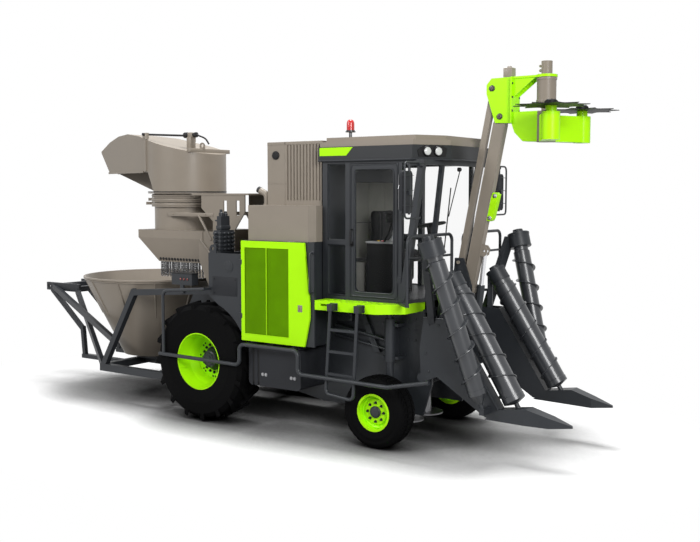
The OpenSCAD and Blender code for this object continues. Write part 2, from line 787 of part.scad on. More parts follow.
// Subframe behind the wheels with the elevator's pivot head
module rear_frame() {
    b = 80;
    elbow = [-1400, -sub_y, 1540];
    arm_end = [100, -sub_y, 1650];
    n = [sub_x, -sub_y, sub_z];
    head_rear = [-rear_reach + 60, -apex_y, apex_z];
    head_front = [-rear_reach + 700, -apex_y, apex_z - 40];
    knee = [-3180, -apex_y, 830];
    foot = [-3140, -apex_y, 400];
    color(grey) {
        both_sides() {
            side_bar([n[0], n[2]], [elbow[0] + 20, elbow[2] + 34], b, -sub_y - 40, -sub_y + 40);
            side_bar([elbow[0] - 30, elbow[2]], [arm_end[0], arm_end[2]], b, -sub_y - 40, -sub_y + 40);
            block([sub_x - 40, -sub_y - 40, 400], [frame_rear, -sub_y + 40, 500]);
            beam([-1830, -sub_y, 850], head_rear + [90, 0, 0], b, 60);
            beam(n, head_front, b, 60);
            side_bar([head_rear[0] + 60, head_rear[2] - 49], [knee[0], knee[2]], 60, -apex_y - 30, -apex_y + 30);
            side_bar([knee[0] - 4, knee[2] + 40], [foot[0], foot[2]], 60, -apex_y - 30, -apex_y + 30);
            block([foot[0] - 40, -apex_y - 40, 390], [sub_x, -apex_y + 40, 450]);
            difference() {
                block([-rear_reach, -apex_y - 20, apex_z - 60], [-rear_reach + 760, -apex_y + 20, apex_z + 60]);
                y_round(-rear_reach + 60, apex_z, -apex_y - 30, -apex_y + 30, 30);
            }
        }
        block([-rear_reach + 160, -apex_y, apex_z - 40], [-rear_reach + 240, apex_y, apex_z + 40]);
        block([-rear_reach + 640, -apex_y, apex_z - 60], [-rear_reach + 720, apex_y, apex_z + 20]);
        block([sub_x - 50, -sub_y, 400], [sub_x + 50, sub_y, 500]);
        block([frame_rear - 100, -sub_y, 400], [frame_rear, sub_y, 520]);
        block([sub_x, -200, 420], [frame_rear - 50, 200, 500]);
        block([60, -sub_y - 40, 1610], [140, sub_y + 40, 1690]);
        block([60, -plate_out, deck_z], [140, plate_out, 1610]);
        translate([bowl_x, 0, 500]) cylinder(h = bowl_floor - 500, r = 300);
    }
}

// Lamp boxes on posts above the rear frame
module tail_lamps() {
    color(grey) both_sides() {
        block([-624, -980, 1700], [-263, -860, 1850]);
        block([-470, -985, 1590], [-410, -sub_y - 40, 1700]);
    }
}

// Hydraulic valves on the deck behind the engine
module valve_stack() {
    color(grey) both_sides() {
        block([110, -960, 2140], [220, -700, 2420]);
        block([130, -920, 2420], [200, -760, 2600]);
    }
}

// Cheeks that carry the boom, the link and the lift cylinder
module topper_bracket() {
    cheek = [
        [wheelbase + 340, deck_z - 40], [lift_base[0] - 60, 1340], [lift_base[0] + 60, 1340],
        [lift_base[0] + 60, 1450], [boom_base[0] + 70, boom_base[2] - 60], [boom_base[0] + 70, boom_base[2] + 50],
        [link_base[0] + 60, link_base[2] + 50], [link_base[0] - 50, link_base[2] + 50], [wheelbase + 480, 1660],
        [wheelbase + 340, 1620]
    ];
    color(grey) {
        both_sides() difference() {
            side_plate(cheek, -80, -56);
            y_round(boom_base[0], boom_base[2], -90, -50, 25);
            y_round(link_base[0], link_base[2], -90, -50, 20);
            y_round(lift_base[0], lift_base[2], -90, -50, 20);
        }
        block([wheelbase + 340, -80, deck_z - 40], [wheelbase + 380, 80, deck_z + 40]);
    }
}

// Boom with its base pin and the lugs of the lift cylinder
module topper_boom() {
    front = [cos(boom_lean), 0, -sin(boom_lean)];
    function at(u, v) = let (p = boom_base + u * boom_dir + v * front) [p[0], p[2]];
    color(beige) {
        side_bar(at(0, 0), at(boom_l, 0), boom_depth, -boom_w / 2, boom_w / 2);
        y_round(boom_base[0], boom_base[2], -boom_w / 2 - 3, boom_w / 2 + 3, 78);
        y_round(boom_top[0], boom_top[2], -boom_w / 2 - 3, boom_w / 2 + 3, 60);
        y_round(boom_base[0], boom_base[2], -100, 100, 25 - run);
        y_round(boom_top[0], boom_top[2], -80, 80, 22 - run);
        both_sides() side_plate([at(830, 60), at(850, 135), at(900, 135), at(960, 60)], -34, -22);
        side_bar(at(865, 105), at(1150, 118), 62, -22, 22);
        y_round(at(872, 105)[0], at(872, 105)[1], -46, 46, 16);
        both_sides() difference() {
            side_plate([at(420, 40), at(420, 120), at(450, 150), at(520, 150), at(550, 120), at(550, 40)], -38, -28);
            y_round(lift_eye[0], lift_eye[2], -60, 0, 15);
        }
    }
}

// Link that keeps the head level
module topper_link() {
    color(beige) {
        beam(link_base, link_top, 70, 60);
        y_round(link_base[0], link_base[2], -34, 34, 45);
        y_round(link_top[0], link_top[2], -34, 34, 45);
        y_round(link_base[0], link_base[2], -100, 100, 20 - run);
        y_round(link_top[0], link_top[2], -80, 80, 20 - run);
    }
}

// Head with its spindle housing and the two arms under the discs
module topper_head() {
    pivot_z = boom_top[2];
    face_x = boom_top[0] + 150;
    top_z = link_top[2] + 110;
    cheek = [
        [boom_top[0] - 60, pivot_z - 70], [face_x, pivot_z - 80], [face_x, top_z], [link_top[0] - 10, top_z],
        [link_top[0] - 70, link_top[2] + 40], [link_top[0] - 70, link_top[2] - 60]
    ];
    arm_low = pivot_z - 295;
    arm_t = 285;
    arm_r = 95;
    arm_w = 2 * arm_r - 30;
    lip = 3;
    plate_h = 22;
    trough = [
        [face_x, pivot_z - 75], [face_x, pivot_z + 40], [spindle_x, pivot_z + 40], [spindle_x, arm_low],
        [face_x + 140, arm_low + 10], [face_x + 40, arm_low + 110]
    ];
    housing_low = disc_z + 70;
    color(lime) {
        both_sides() difference() {
            side_plate(cheek, -58, -46);
            y_round(boom_top[0], pivot_z, -70, -40, 22);
            y_round(link_top[0], link_top[2], -70, -40, 20);
        }
        block([face_x, -110, pivot_z - 80], [face_x + 14, 110, top_z]);
        block([link_top[0] - 10, -58, top_z - plate_h], [face_x, 58, top_z]);
        block([face_x, -85, top_z - plate_h], [spindle_x, 85, top_z]);
        translate([spindle_x, 0, top_z - plate_h - lip]) cylinder(h = plate_h + 2 * lip, r = arm_r + 22);
        both_sides() side_plate([[face_x, top_z - 10], [spindle_x - 90, top_z - 10], [face_x, pivot_z + 190]], -70, -58);
        side_plate(trough, -80, 80);
        translate([spindle_x, 0, arm_low - lip]) cylinder(h = arm_t + 2 * lip, r = arm_r + 5);
        both_sides() {
            translate([disc_x, -disc_y, arm_low - lip]) cylinder(h = arm_t + 2 * lip, r = arm_r);
            level_bar([spindle_x, 0], [disc_x, -disc_y], arm_w, arm_low, arm_low + arm_t);
            translate([disc_x, -disc_y, arm_low + arm_t]) cylinder(h = disc_z - run - arm_low - arm_t, r = 60);
        }
        translate([spindle_x, 0, arm_low + arm_t]) cylinder(h = housing_low - arm_low - arm_t, r = 54);
        translate([spindle_x, 0, housing_low]) cylinder(h = top_z - housing_low, r = 105);
        translate([spindle_x, 0, top_z]) cylinder(h = 150, r = 60);
        block([face_x - 115, -48, top_z], [face_x - 15, 48, top_z + 105]);
    }
}

// Barrel of the topper's lift cylinder
module topper_cylinder() {
    reach = 434;
    color(grey) {
        difference() {
            union() {
                along(lift_base, lift_eye) translate([0, 0, 30]) cylinder(h = reach - 30, r = 45);
                y_round(lift_base[0], lift_base[2], -40, 40, 38);
            }
            along(lift_base, lift_eye) translate([0, 0, 90]) cylinder(h = reach, r = 25 + run);
        }
        y_round(lift_base[0], lift_base[2], -100, 100, 20 - run);
    }
}

// Rod of the topper's lift cylinder
module topper_rod() {
    rod_start = 408;
    color([0.8, 0.8, 0.82]) difference() {
        union() {
            along(lift_base, lift_eye) translate([0, 0, rod_start]) cylinder(h = lift_len - rod_start - 20, r = 25);
            y_round(lift_eye[0], lift_eye[2], -18, 18, 32);
        }
        y_round(lift_eye[0], lift_eye[2], -30, 30, 15);
    }
}

// Toothed gathering disc
module topper_disc() {
    points = [
        for (i = [0 : disc_teeth - 1], k = [0 : 2])
            let (a = (i + [0, 0.35, 0.8][k]) * 360 / disc_teeth, r = [0.72, 1, 0.72][k] * disc_r)
                [r * cos(a), r * sin(a)]
    ];
    color(black) translate([disc_x, -disc_y, disc_z]) {
        linear_extrude(8) polygon(points);
        translate([0, 0, 8]) cylinder(h = 40, r = 70);
    }
}
module topper_disc_right() {
    topper_disc();
}
module topper_disc_left() {
    left_side() topper_disc();
}

// Cab door frame, hinged at its front edge
module cab_door() {
    w = door_front - door_rear;
    h = door_high - door_low;
    y = -cab_y;
    rim = 60;
    color(grey) difference() {
        block([door_rear, y, door_low], [door_front, y + cab_door_t, door_high]);
        translate([door_rear + rim, y + cab_door_t + 1, door_low + rim]) rotate([90, 0, 0])
            linear_extrude(cab_door_t + 2) rounded_rect(w - 2 * rim, h - 2 * rim, 60);
        for (z = cab_hinges) knuckle_room(door_front, y, z, knuckle_r + 2);
    }
}

// Pane of the cab door
module cab_door_glass() {
    rim = 60;
    w = door_front - door_rear;
    h = door_high - door_low;
    color(glass) translate([door_rear + rim, -cab_y + 22, door_low + rim]) rotate([90, 0, 0])
        linear_extrude(8) rounded_rect(w - 2 * rim, h - 2 * rim, 60);
}

// Engine side door with two mesh windows
module side_door() {
    y = -body_y - gap;
    front = door_x + door_l;
    outline = [
        [door_x, door_z], [front, door_z], [front + door_bulge, door_z + 330], [front + door_bulge, door_z + 520],
        [front, door_z + door_h], [door_x, door_z + door_h]
    ];
    color(lime) difference() {
        side_plate(outline, y - door_t, y);
        for (x = [door_x + 60, front - 560])
            block([x, y - door_t - 1, door_z + 90], [x + 330, y - door_t + 10, door_z + door_h - 80]);
        block([front - 90, y - door_t - 1, door_z + 410], [front - 30, y - door_t + 6, door_z + 480]);
        for (z = side_hinges) knuckle_room(door_x, -side_axis_y, z, door_t);
    }
}
module side_door_right() {
    side_door();
}
module side_door_left() {
    left_side() side_door();
}

// Crop divider: walls, shoe and the holders of its two scrolls
module divider() {
    x0 = wheelbase;
    wall = [
        [hinge_x - 20, hinge_z + 330], [x0 + 471, 1505], [x0 + 790, 1505], [x0 + 1400, 573], [x0 + 1430, 470],
        [x0 + 1246, 470], [x0 + 643, 849], [hinge_x, hinge_z - 60]
    ];
    shoe = [
        [x0 + 1246, 453], [x0 + 1968, 440], [x_tip, 462], [x_tip - 8, 486], [x0 + 1724, 620], [x0 + 1400, 573]
    ];
    tip_y = -595;
    plan = [
        [x0 + 1240, tip_y - 120], [x0 + 1700, tip_y - 120], [x0 + 1968, tip_y - 80], [x_tip + 1, tip_y - 14],
        [x_tip + 1, tip_y + 14], [x0 + 1968, tip_y + 70], [x0 + 1700, tip_y + 60], [x0 + 1240, tip_y + 50]
    ];
    outer_dir = unit(outer_top, outer_low);
    inner_dir = unit(inner_top, inner_low);
    outer_head = outer_top - 180 * outer_dir;
    inner_head = inner_top - 160 * inner_dir;
    color(grey) {
        difference() {
            side_plate(wall, -wall_out, -wall_in);
            side_plate([for (p = wall) p + [-16, 0]], -wall_out + 14, -wall_in - 14);
        }
        intersection() {
            side_plate(shoe, -800, -400);
            translate([0, 0, 300]) linear_extrude(500) polygon(plan);
        }
        rod(outer_head, outer_top, 132);
        rod(outer_head - 45 * outer_dir, outer_head, 62);
        rod(inner_head, inner_top, 116);
        rod(inner_head - 40 * inner_dir, inner_head, 56);
        beam([x0 + 560, -wall_out + 40, 1460], outer_head + [-90, 60, -60], 110, 70);
        beam([x0 + 640, -wall_in - 60, 1460], inner_head + [-60, 0, -40], 90, 60);
        rod(outer_low + (outer_foot + scroll_gap) * outer_dir, outer_low + 190 * outer_dir, 24);
        block([x0 + 1260, -870, 530], [x0 + 1316, -wall_out + 10, 600]);
        rod(inner_low + (inner_foot + scroll_gap) * inner_dir, inner_low + 120 * inner_dir, 26);
        y_round(hinge_x, hinge_z, -wall_out, -wall_in, 50);
    }
}
module divider_right() {
    divider();
}
module divider_left() {
    left_side() divider();
}

// Helical flight from radius r0 to r1
module flight(r0, r1, t, span, turns) {
    steps = ceil(14 * turns);
    section = [[r0, -t / 2], [r1, -t / 2], [r1, t / 2], [r0, t / 2]];
    points = [
        for (i = [0 : steps], c = section)
            let (a = 360 * turns * i / steps) [c[0] * cos(a), c[0] * sin(a), span * i / steps + c[1]]
    ];
    sides = [
        for (i = [0 : steps - 1], k = [0 : 3])
            let (a = 4 * i + k, b = 4 * i + (k + 1) % 4)
                each [[a, b, b + 4], [a, b + 4, a + 4]]
    ];
    polyhedron(points, concat(sides, [[3, 2, 1, 0], [for (k = [0 : 3]) 4 * steps + k]]));
}

// Scroll: a tube with a helical flight and a cone at its foot
module scroll(top, low, r, turns, foot) {
    span = norm(low - top) - scroll_gap;
    start = top + scroll_gap * unit(top, low);
    color(grey) along(start, low) {
        cylinder(h = span, r = r);
        translate([0, 0, span]) cylinder(h = foot, r1 = r, r2 = 0.3 * r);
        translate([0, 0, 40]) flight(r - 12, r + flight_h, 16, span - 80, turns);
    }
}
module scroll_outer() {
    scroll(outer_top, outer_low, outer_tube_r, outer_turns, outer_foot);
}
module scroll_inner() {
    scroll(inner_top, inner_low, inner_tube_r, outer_turns - 0.5, inner_foot);
}
module scroll_outer_right() {
    scroll_outer();
}
module scroll_outer_left() {
    left_side() scroll_outer();
}
module scroll_inner_right() {
    scroll_inner();
}
module scroll_inner_left() {
    left_side() scroll_inner();
}

// Roller that pushes the cane forward
module knockdown_roller() {
    x = wheelbase + 330;
    z = 850;
    color(grey) {
        y_round(x, z, -plate_in + run, plate_in - run, 110);
        for (a = [0 : 45 : 315]) translate([x, 0, z]) rotate([0, a, 0])
            translate([100, -plate_in + 30, -8]) cube([70, throat_w - 60, 16]);
    }
}

// Base cutter disc below its drive leg
module base_cutter() {
    disc_low = 190;
    disc_t = 16;
    color(steel) translate([cutter_x, -cutter_y, disc_low]) {
        cylinder(h = disc_t, r = 215);
        translate([0, 0, disc_t]) cylinder(h = cutter_top - disc_low - disc_t, r = 70);
    }
}
module base_cutter_right() {
    base_cutter();
}
module base_cutter_left() {
    left_side() base_cutter();
}

// Steered knuckle with its kingpin and spindle
module front_knuckle() {
    y = -kingpin_y;
    color(grey) {
        translate([wheelbase, y, front_z]) cylinder(h = leg_bottom - run - front_z, r = 45);
        block([wheelbase - 60, y - 60, front_z - 75], [wheelbase + 60, y + 60, front_z + 110]);
        y_round(wheelbase, front_z, y - 130, y, 55);
        y_round(wheelbase, front_z, y - 160 + run, y - 130, 95);
    }
}
module front_knuckle_right() {
    front_knuckle();
}
module front_knuckle_left() {
    left_side() front_knuckle();
}

// Front rim with hub cap
module front_rim() {
    w = front_tyre_w - 30;
    out = -front_y - w / 2;
    face = -kingpin_y - 160;
    color(lime) translate([wheelbase, 0, front_z]) rotate([90, 0, 0]) rotate_extrude() {
        r = front_rim_r;
        polygon([
            [0, -face], [r - 40, -face], [r - 40, -out - w], [r - 14, -out - w], [r - 14, -out], [r - 40, -out],
            [r - 40, -face + 20], [110, -face + 20], [110, -face + 60], [70, -face + 70], [70, -face + 120], [0, -face + 130]
        ]);
    }
}
module front_rim_right() {
    front_rim();
}
module front_rim_left() {
    left_side() front_rim();
}

// Front tyre
module front_tyre() {
    w = front_tyre_w / 2;
    r0 = front_rim_r - 14;
    r1 = front_r;
    color(black) translate([wheelbase, -front_y, front_z]) rotate([90, 0, 0]) rotate_extrude() polygon([
        [r0, -w + 16], [r0 + 40, -w + 6], [r0 + 90, -w], [r1 - 60, -w + 4], [r1 - 22, -w + 16], [r1 - 6, -w + 40],
        [r1, 0], [r1 - 6, w - 40], [r1 - 22, w - 16], [r1 - 60, w - 4], [r0 + 90, w], [r0 + 40, w - 6], [r0, w - 16]
    ]);
}
module front_tyre_right() {
    front_tyre();
}
module front_tyre_left() {
    left_side() front_tyre();
}

// Rear rim with its deep dish
module rear_rim() {
    w = rear_tyre_w - 40;
    out = rear_y + w / 2;
    r = rear_rim_r;
    face = hub_face;
    color(lime) translate([0, 0, rear_z]) rotate([90, 0, 0]) rotate_extrude() {
        polygon([
            [0, face], [r - 100, face], [r - 44, face + 90], [r - 60, out - w], [r - 20, out - w], [r - 20, out],
            [r - 32, out], [r - 62, face + 150], [r - 118, face + 30], [150, face + 24], [120, face + 60],
            [110, face + 110], [0, face + 120]
        ]);
    }
}
module rear_rim_right() {
    rear_rim();
}
module rear_rim_left() {
    left_side() rear_rim();
}

// Rear tyre with slanted lugs
module rear_tyre() {
    w = rear_tyre_w / 2;
    sides = 40;
    r0 = (rear_rim_r - 20 + run) / cos(180 / sides);
    r1 = rear_r - 42;
    lugs = 16;
    color(black) translate([0, -rear_y, rear_z]) rotate([90, 0, 0]) {
        for (s = [-1, 1], i = [0 : lugs - 1]) rotate((i + (s > 0 ? 0.5 : 0)) * 360 / lugs) hull() {
            translate([r1 - 20, -20, s * 4 - 10]) cube([rear_r - r1 + 20, 40, 20]);
            rotate(17) translate([r1 - 90, -26, s * (w - 16) - 8]) cube([rear_r - r1 + 66, 52, 16]);
        }
        rotate_extrude($fn = sides) polygon([
            [r0, -w + 20], [r0 + 160, -w], [r1 - 60, -w + 6], [r1 - 10, -w + 50], [r1, 0], [r1 - 10, w - 50],
            [r1 - 60, w - 6], [r0 + 160, w], [r0, w - 20]
        ]);
    }
}
module rear_tyre_right() {
    rear_tyre();
}
module rear_tyre_left() {
    left_side() rear_tyre();
}

place() chassis_frame();
place() rear_axle();
place() front_axle();
place() engine_block();
place() engine_housing();
place() engine_hood();
place() cooling_tower();
place() fuel_tanks();
place() side_rails();
place() ladder();
place() platforms();
place() cab_frame();
place() cab_glass();
place() cab_roof();
place() roof_lamps();
place() operator_seat();
place() control_console();
place() front_rails();
place() beacon();
place() extractor_chamber();
place() extractor_ring();
place() extractor_fan();
place() extractor_hood();
place() receiving_bowl();
place() chain_curtain();
place() rear_frame();
place() tail_lamps();
place() valve_stack();
place() topper_bracket();
place() topper_boom();
place() topper_link();
place() topper_head();
place() topper_cylinder();
place() topper_rod();
place() topper_disc_right();
place() topper_disc_left();
place() cab_door();
place() cab_door_glass();
place() side_door_right();
place() side_door_left();
place() divider_right();
place() divider_left();
place() scroll_outer_right();
place() scroll_outer_left();
place() scroll_inner_right();
place() scroll_inner_left();
place() knockdown_roller();
place() base_cutter_right();
place() base_cutter_left();
place() front_knuckle_right();
place() front_knuckle_left();
place() front_rim_right();
place() front_rim_left();
place() front_tyre_right();
place() front_tyre_left();
place() rear_rim_right();
place() rear_rim_left();
place() rear_tyre_right();
place() rear_tyre_left();
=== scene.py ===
import json
from math import acos, copysign, cos, exp, pi, radians, sin

import bmesh
import bpy
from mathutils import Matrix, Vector


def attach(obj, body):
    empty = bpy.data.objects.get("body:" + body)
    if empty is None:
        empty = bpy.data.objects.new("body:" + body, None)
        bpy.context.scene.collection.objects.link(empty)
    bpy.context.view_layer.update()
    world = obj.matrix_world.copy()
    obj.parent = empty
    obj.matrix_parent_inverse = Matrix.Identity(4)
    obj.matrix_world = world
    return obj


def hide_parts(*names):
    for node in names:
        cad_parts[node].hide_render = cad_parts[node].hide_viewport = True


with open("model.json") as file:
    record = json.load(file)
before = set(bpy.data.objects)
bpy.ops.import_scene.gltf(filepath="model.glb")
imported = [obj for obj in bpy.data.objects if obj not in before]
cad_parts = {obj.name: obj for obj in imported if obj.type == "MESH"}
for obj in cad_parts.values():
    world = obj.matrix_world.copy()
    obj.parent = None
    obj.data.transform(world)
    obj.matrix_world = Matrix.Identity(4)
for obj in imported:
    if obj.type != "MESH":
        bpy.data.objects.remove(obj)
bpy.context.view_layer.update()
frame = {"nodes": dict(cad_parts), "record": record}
NODES = frame["nodes"]

# Places are given from the rear axle, as in the part's source, and moved to the row frame here
X_MID = 0.3825


def place(x, y, z):
    return Vector((x - X_MID, y, z))


def add_object(name, data):
    obj = bpy.data.objects.new(name, data)
    bpy.context.collection.objects.link(obj)
    return obj


# Camera at the photograph's viewpoint
CAMERA_AT = place(8.4636, -9.9361, 2.8951)
CAMERA_TILT, CAMERA_TURN = 0.0813, 0.6087
SENSOR_WIDTH, FOCAL_LENGTH, CLIP_END = 36.0, 49.47, 200.0

camera_data = bpy.data.cameras.new("photo_camera")
camera_data.sensor_fit = "HORIZONTAL"
camera_data.sensor_width = SENSOR_WIDTH
camera_data.lens = FOCAL_LENGTH
camera_data.clip_end = CLIP_END
camera = add_object("photo_camera", camera_data)
camera.location = CAMERA_AT
camera.rotation_euler = (pi / 2 - CAMERA_TILT, 0.0, CAMERA_TURN)
bpy.context.scene.camera = camera
bpy.context.scene.view_settings.view_transform = "Standard"


# Materials
CLOUD_SCALE = 3.0
GLOSS_LESS, GLOSS_MORE = 0.07, 0.09
COAT_ROUGH = 0.12
GRAIN_STRENGTH = 0.35
HAZE_SPREAD = 0.15
GLASS_IOR = 1.45


def feed(tree, socket, value):
    """Links another node's output to a socket, or sets a constant on the socket itself."""
    if isinstance(value, bpy.types.NodeSocket):
        tree.links.new(value, socket)
    else:
        socket.default_value = value


def feed_named(tree, node, **sockets):
    for key, value in sockets.items():
        feed(tree, node.inputs[key.replace("_", " ")], value)


def add(tree, kind, *values, out=0, **options):
    """New shader node, of which the output named by out is given back.
    Values go to its sockets in order, and options with a capital to the sockets of that name.
    Options in small letters are the node's own settings."""
    node = tree.nodes.new("ShaderNode" + kind)
    for key in [k for k in options if k[0].islower()]:
        setattr(node, key, options.pop(key))
    for socket, value in zip(node.inputs, values):
        feed(tree, socket, value)
    feed_named(tree, node, **options)
    return node.outputs[out]


def new_material(name):
    mat = bpy.data.materials.new(name)
    mat.use_nodes = True
    return mat, mat.node_tree, mat.node_tree.nodes["Principled BSDF"]


def below(z):
    """Mask for what lies under a height."""
    def mask(tree, coords):
        height = add(tree, "SeparateXYZ", coords, out="Z")
        return add(tree, "Math", height, z, operation="LESS_THAN")
    return mask


def near_upright(centre, radius):
    """Mask for what lies within a radius of an upright axis."""
    def mask(tree, coords):
        offset = add(tree, "VectorMath", coords, centre, operation="SUBTRACT")
        flat = add(tree, "VectorMath", offset, (1.0, 1.0, 0.0), operation="MULTIPLY")
        length = add(tree, "VectorMath", flat, operation="LENGTH", out="Value")
        return add(tree, "Math", length, radius, operation="LESS_THAN")
    return mask


def cloudy(tree, cloud, colour, vary):
    """Colour that goes from a little darker to a little lighter with the clouds."""
    ramp = tree.nodes.new("ShaderNodeValToRGB")
    for stop, position, k in zip(ramp.color_ramp.elements, (0.3, 0.7), (1 - vary, 1 + vary)):
        stop.position = position
        stop.color = [min(1.0, c * k) for c in colour] + [1.0]
    feed(tree, ramp.inputs["Fac"], cloud)
    return ramp.outputs["Color"]


def surface(
    name, colour, rough, metallic=0.0, vary=0.12, bump=0.0008, grain=220.0, coat=0.0, spec=0.5, second=None
):
    """Painted, moulded or rolled surface: cloudy colour, uneven gloss, fine grain.
    second is (colour, mask) for paint in a second colour where the mask is 1."""
    mat, tree, bsdf = new_material(name)
    coords = add(tree, "TexCoord", out="Object")
    cloud = add(tree, "TexNoise", coords, Scale=CLOUD_SCALE, Detail=6.0, Roughness=0.6)
    tone = cloudy(tree, cloud, colour, vary)
    if second:
        other = cloudy(tree, cloud, second[0], vary)
        mask = second[1](tree, coords)
        tone = add(tree, "Mix", data_type="RGBA", Factor=mask, A=tone, B=other, out="Result")
    dull, bright = min(1.0, rough + GLOSS_MORE), max(0.02, rough - GLOSS_LESS)
    gloss = add(tree, "MapRange", cloud, To_Min=bright, To_Max=dull)
    fine = add(tree, "TexNoise", coords, Scale=grain, Detail=3.0)
    relief = add(tree, "Bump", Strength=GRAIN_STRENGTH, Distance=bump, Height=fine)
    feed_named(
        tree, bsdf, Base_Color=tone, Roughness=gloss, Normal=relief, Metallic=metallic,
        Specular_IOR_Level=spec, Coat_Weight=coat, Coat_Roughness=COAT_ROUGH,
    )
    return mat


def clear_glass(name, tint, rough, alpha, spec):
    mat, tree, bsdf = new_material(name)
    haze = add(tree, "TexNoise", add(tree, "TexCoord", out="Object"), Scale=0.6, Detail=1.0)
    clear = add(tree, "MapRange", haze, To_Min=alpha * (1 - HAZE_SPREAD), To_Max=alpha * (1 + HAZE_SPREAD))
    feed_named(
        tree, bsdf, Base_Color=(*tint, 1.0), Roughness=rough, Alpha=clear, IOR=GLASS_IOR,
        Specular_IOR_Level=spec,
    )
    return mat


LIME_TONE = (0.4, 0.86, 0.004)
BEIGE_TONE = (0.235, 0.203, 0.166)
GREY_TONE = (0.021, 0.0235, 0.0275)
FASCIA_TONE = (0.0115, 0.013, 0.0152)
RED_TONE = (0.5, 0.006, 0.006)
SPINDLE_X, SPINDLE_R = 4.152, 0.1065
ROOF_SPLIT, BEACON_SPLIT = 3.421, 3.64

LIME_GLOSS = dict(rough=0.36, vary=0.03, coat=0.03, spec=0.12)
BEIGE_GLOSS = dict(rough=0.42, vary=0.04, coat=0.05, spec=0.3)
RED_GLOSS = dict(rough=0.2, vary=0.08, coat=0.4)
SPINDLE_PAINT = (BEIGE_TONE, near_upright(place(SPINDLE_X, 0.0, 0.0), SPINDLE_R))

LIME = surface("lime_paint", LIME_TONE, **LIME_GLOSS)
HEAD_LIME = surface("topper_head_paint", LIME_TONE, **LIME_GLOSS, second=SPINDLE_PAINT)
LIME_DARK = surface("lime_mesh", (0.125, 0.3, 0.001), 0.6, grain=500.0, bump=0.002, spec=0.05)
BEIGE = surface("beige_paint", BEIGE_TONE, **BEIGE_GLOSS)
ROOF_PAINT = surface("roof_paint", BEIGE_TONE, **BEIGE_GLOSS, second=(FASCIA_TONE, below(ROOF_SPLIT)))
GREY = surface("grey_paint", GREY_TONE, 0.42, vary=0.08, coat=0.04, spec=0.3)
SCROLL_PAINT = surface("scroll_paint", (0.03, 0.0325, 0.037), 0.3, vary=0.06, coat=0.25, spec=0.45)
GREY_LIGHT = surface("grey_light_paint", (0.36, 0.365, 0.37), 0.45, vary=0.08, spec=0.3)
LINING = surface("cab_lining", (0.25, 0.248, 0.226), 0.7, vary=0.1, grain=420.0, bump=0.0015, spec=0.2)
BLACK = surface("black_plastic", (0.007, 0.007, 0.0075), 0.5, vary=0.2, grain=420.0, spec=0.2)
TANK = surface("tank_plastic", (0.015, 0.016, 0.019), 0.55, vary=0.1, grain=380.0, bump=0.0012, spec=0.2)
RUBBER = surface("tyre_rubber", (0.0022, 0.0022, 0.0024), 0.75, vary=0.25, grain=160.0, bump=0.002, spec=0.05)
IRON = surface("engine_iron", (0.01, 0.01, 0.011), 0.55, vary=0.3, spec=0.3)
STEEL = surface("bare_steel", (0.3, 0.3, 0.31), 0.36, metallic=0.9, vary=0.15)
CHAIN = surface("chain_steel", (0.16, 0.16, 0.165), 0.26, metallic=0.9, vary=0.2)
NUT_STEEL = surface("nut_steel", (0.055, 0.048, 0.05), 0.42, metallic=0.6, vary=0.15)
CHROME = surface("chrome_rod", (0.75, 0.75, 0.77), 0.1, metallic=1.0, vary=0.04, bump=0.0002)
DISC = surface("disc_black", (0.005, 0.005, 0.0055), 0.5, vary=0.2, spec=0.15)
VINYL = surface("seat_vinyl", (0.01, 0.01, 0.011), 0.6, vary=0.15, grain=600.0, bump=0.0015, spec=0.25)
RED = surface("beacon_red", RED_TONE, **RED_GLOSS)
BEACON = surface("beacon_two_tone", RED_TONE, **RED_GLOSS, second=(GREY_TONE, below(BEACON_SPLIT)))
LAMP_RED = surface("lamp_red", (0.16, 0.006, 0.005), 0.25, vary=0.1, coat=0.4)
YELLOW = surface("button_yellow", (0.8, 0.5, 0.01), 0.35, vary=0.05)
GLASS = clear_glass("cab_glass", (0.02, 0.026, 0.025), 0.01, 0.035, 0.6)
LENS = clear_glass("lamp_lens", (0.7, 0.71, 0.7), 0.08, 0.75, 0.4)

SLOT_LOOKS = {
    "lime_paint": LIME, "beige_paint": BEIGE, "grey_paint": GREY, "engine_black": IRON, "tank_plastic": TANK,
    "black_plastic": BLACK, "seat_vinyl": VINYL, "tyre_rubber": RUBBER, "bare_steel": STEEL,
    "chrome_rod": CHROME, "disc_black": DISC, "cab_glass": GLASS, "lamp_lens": LENS, "beacon_red": RED,
}
NODE_LOOKS = {"topper_head": HEAD_LIME, "cab_roof": ROOF_PAINT, "beacon": BEACON}
for part in frame["record"]["subparts"]:
    slots = NODES[part["node"]].data.materials
    slots.clear()
    slots.append(NODE_LOOKS.get(part["node"], SLOT_LOOKS[part["material_slot"]]))


# Mesh building, in metres from the rear axle
RIGHT = Vector((0.0, -1.0, 0.0))
FORE = Vector((1.0, 0.0, 0.0))
UP = Vector((0.0, 0.0, 1.0))
SMOOTH_ANGLE = radians(38.0)
TINY = 0.0004


def loft(bm, rings, closed=True, caps=False):
    """Skins a row of rings of equal length."""
    rows = [[bm.verts.new(p) for p in ring] for ring in rings]
    for a, b in zip(rows, rows[1:]):
        n = len(a)
        for i in range(n if closed else n - 1):
            j = (i + 1) % n
            bm.faces.new((a[i], a[j], b[j], b[i]))
    if caps:
        bm.faces.new(rows[0][::-1])
        bm.faces.new(rows[-1])
    return rows


def cross_axes(direction):
    d = Vector(direction).normalized()
    u = d.cross(UP if abs(d.z) < 0.9 else FORE).normalized()
    return u, d.cross(u)


def ring(centre, u, v, r, n, turn=0.0):
    steps = [2 * pi * i / n + turn for i in range(n)]
    return [centre + u * (r * cos(a)) + v * (r * sin(a)) for a in steps]


def turned(centre, axis, profile, n):
    d = Vector(axis).normalized()
    u, v = cross_axes(d)
    return [ring(Vector(centre) + d * h, u, v, max(r, TINY), n) for r, h in profile]


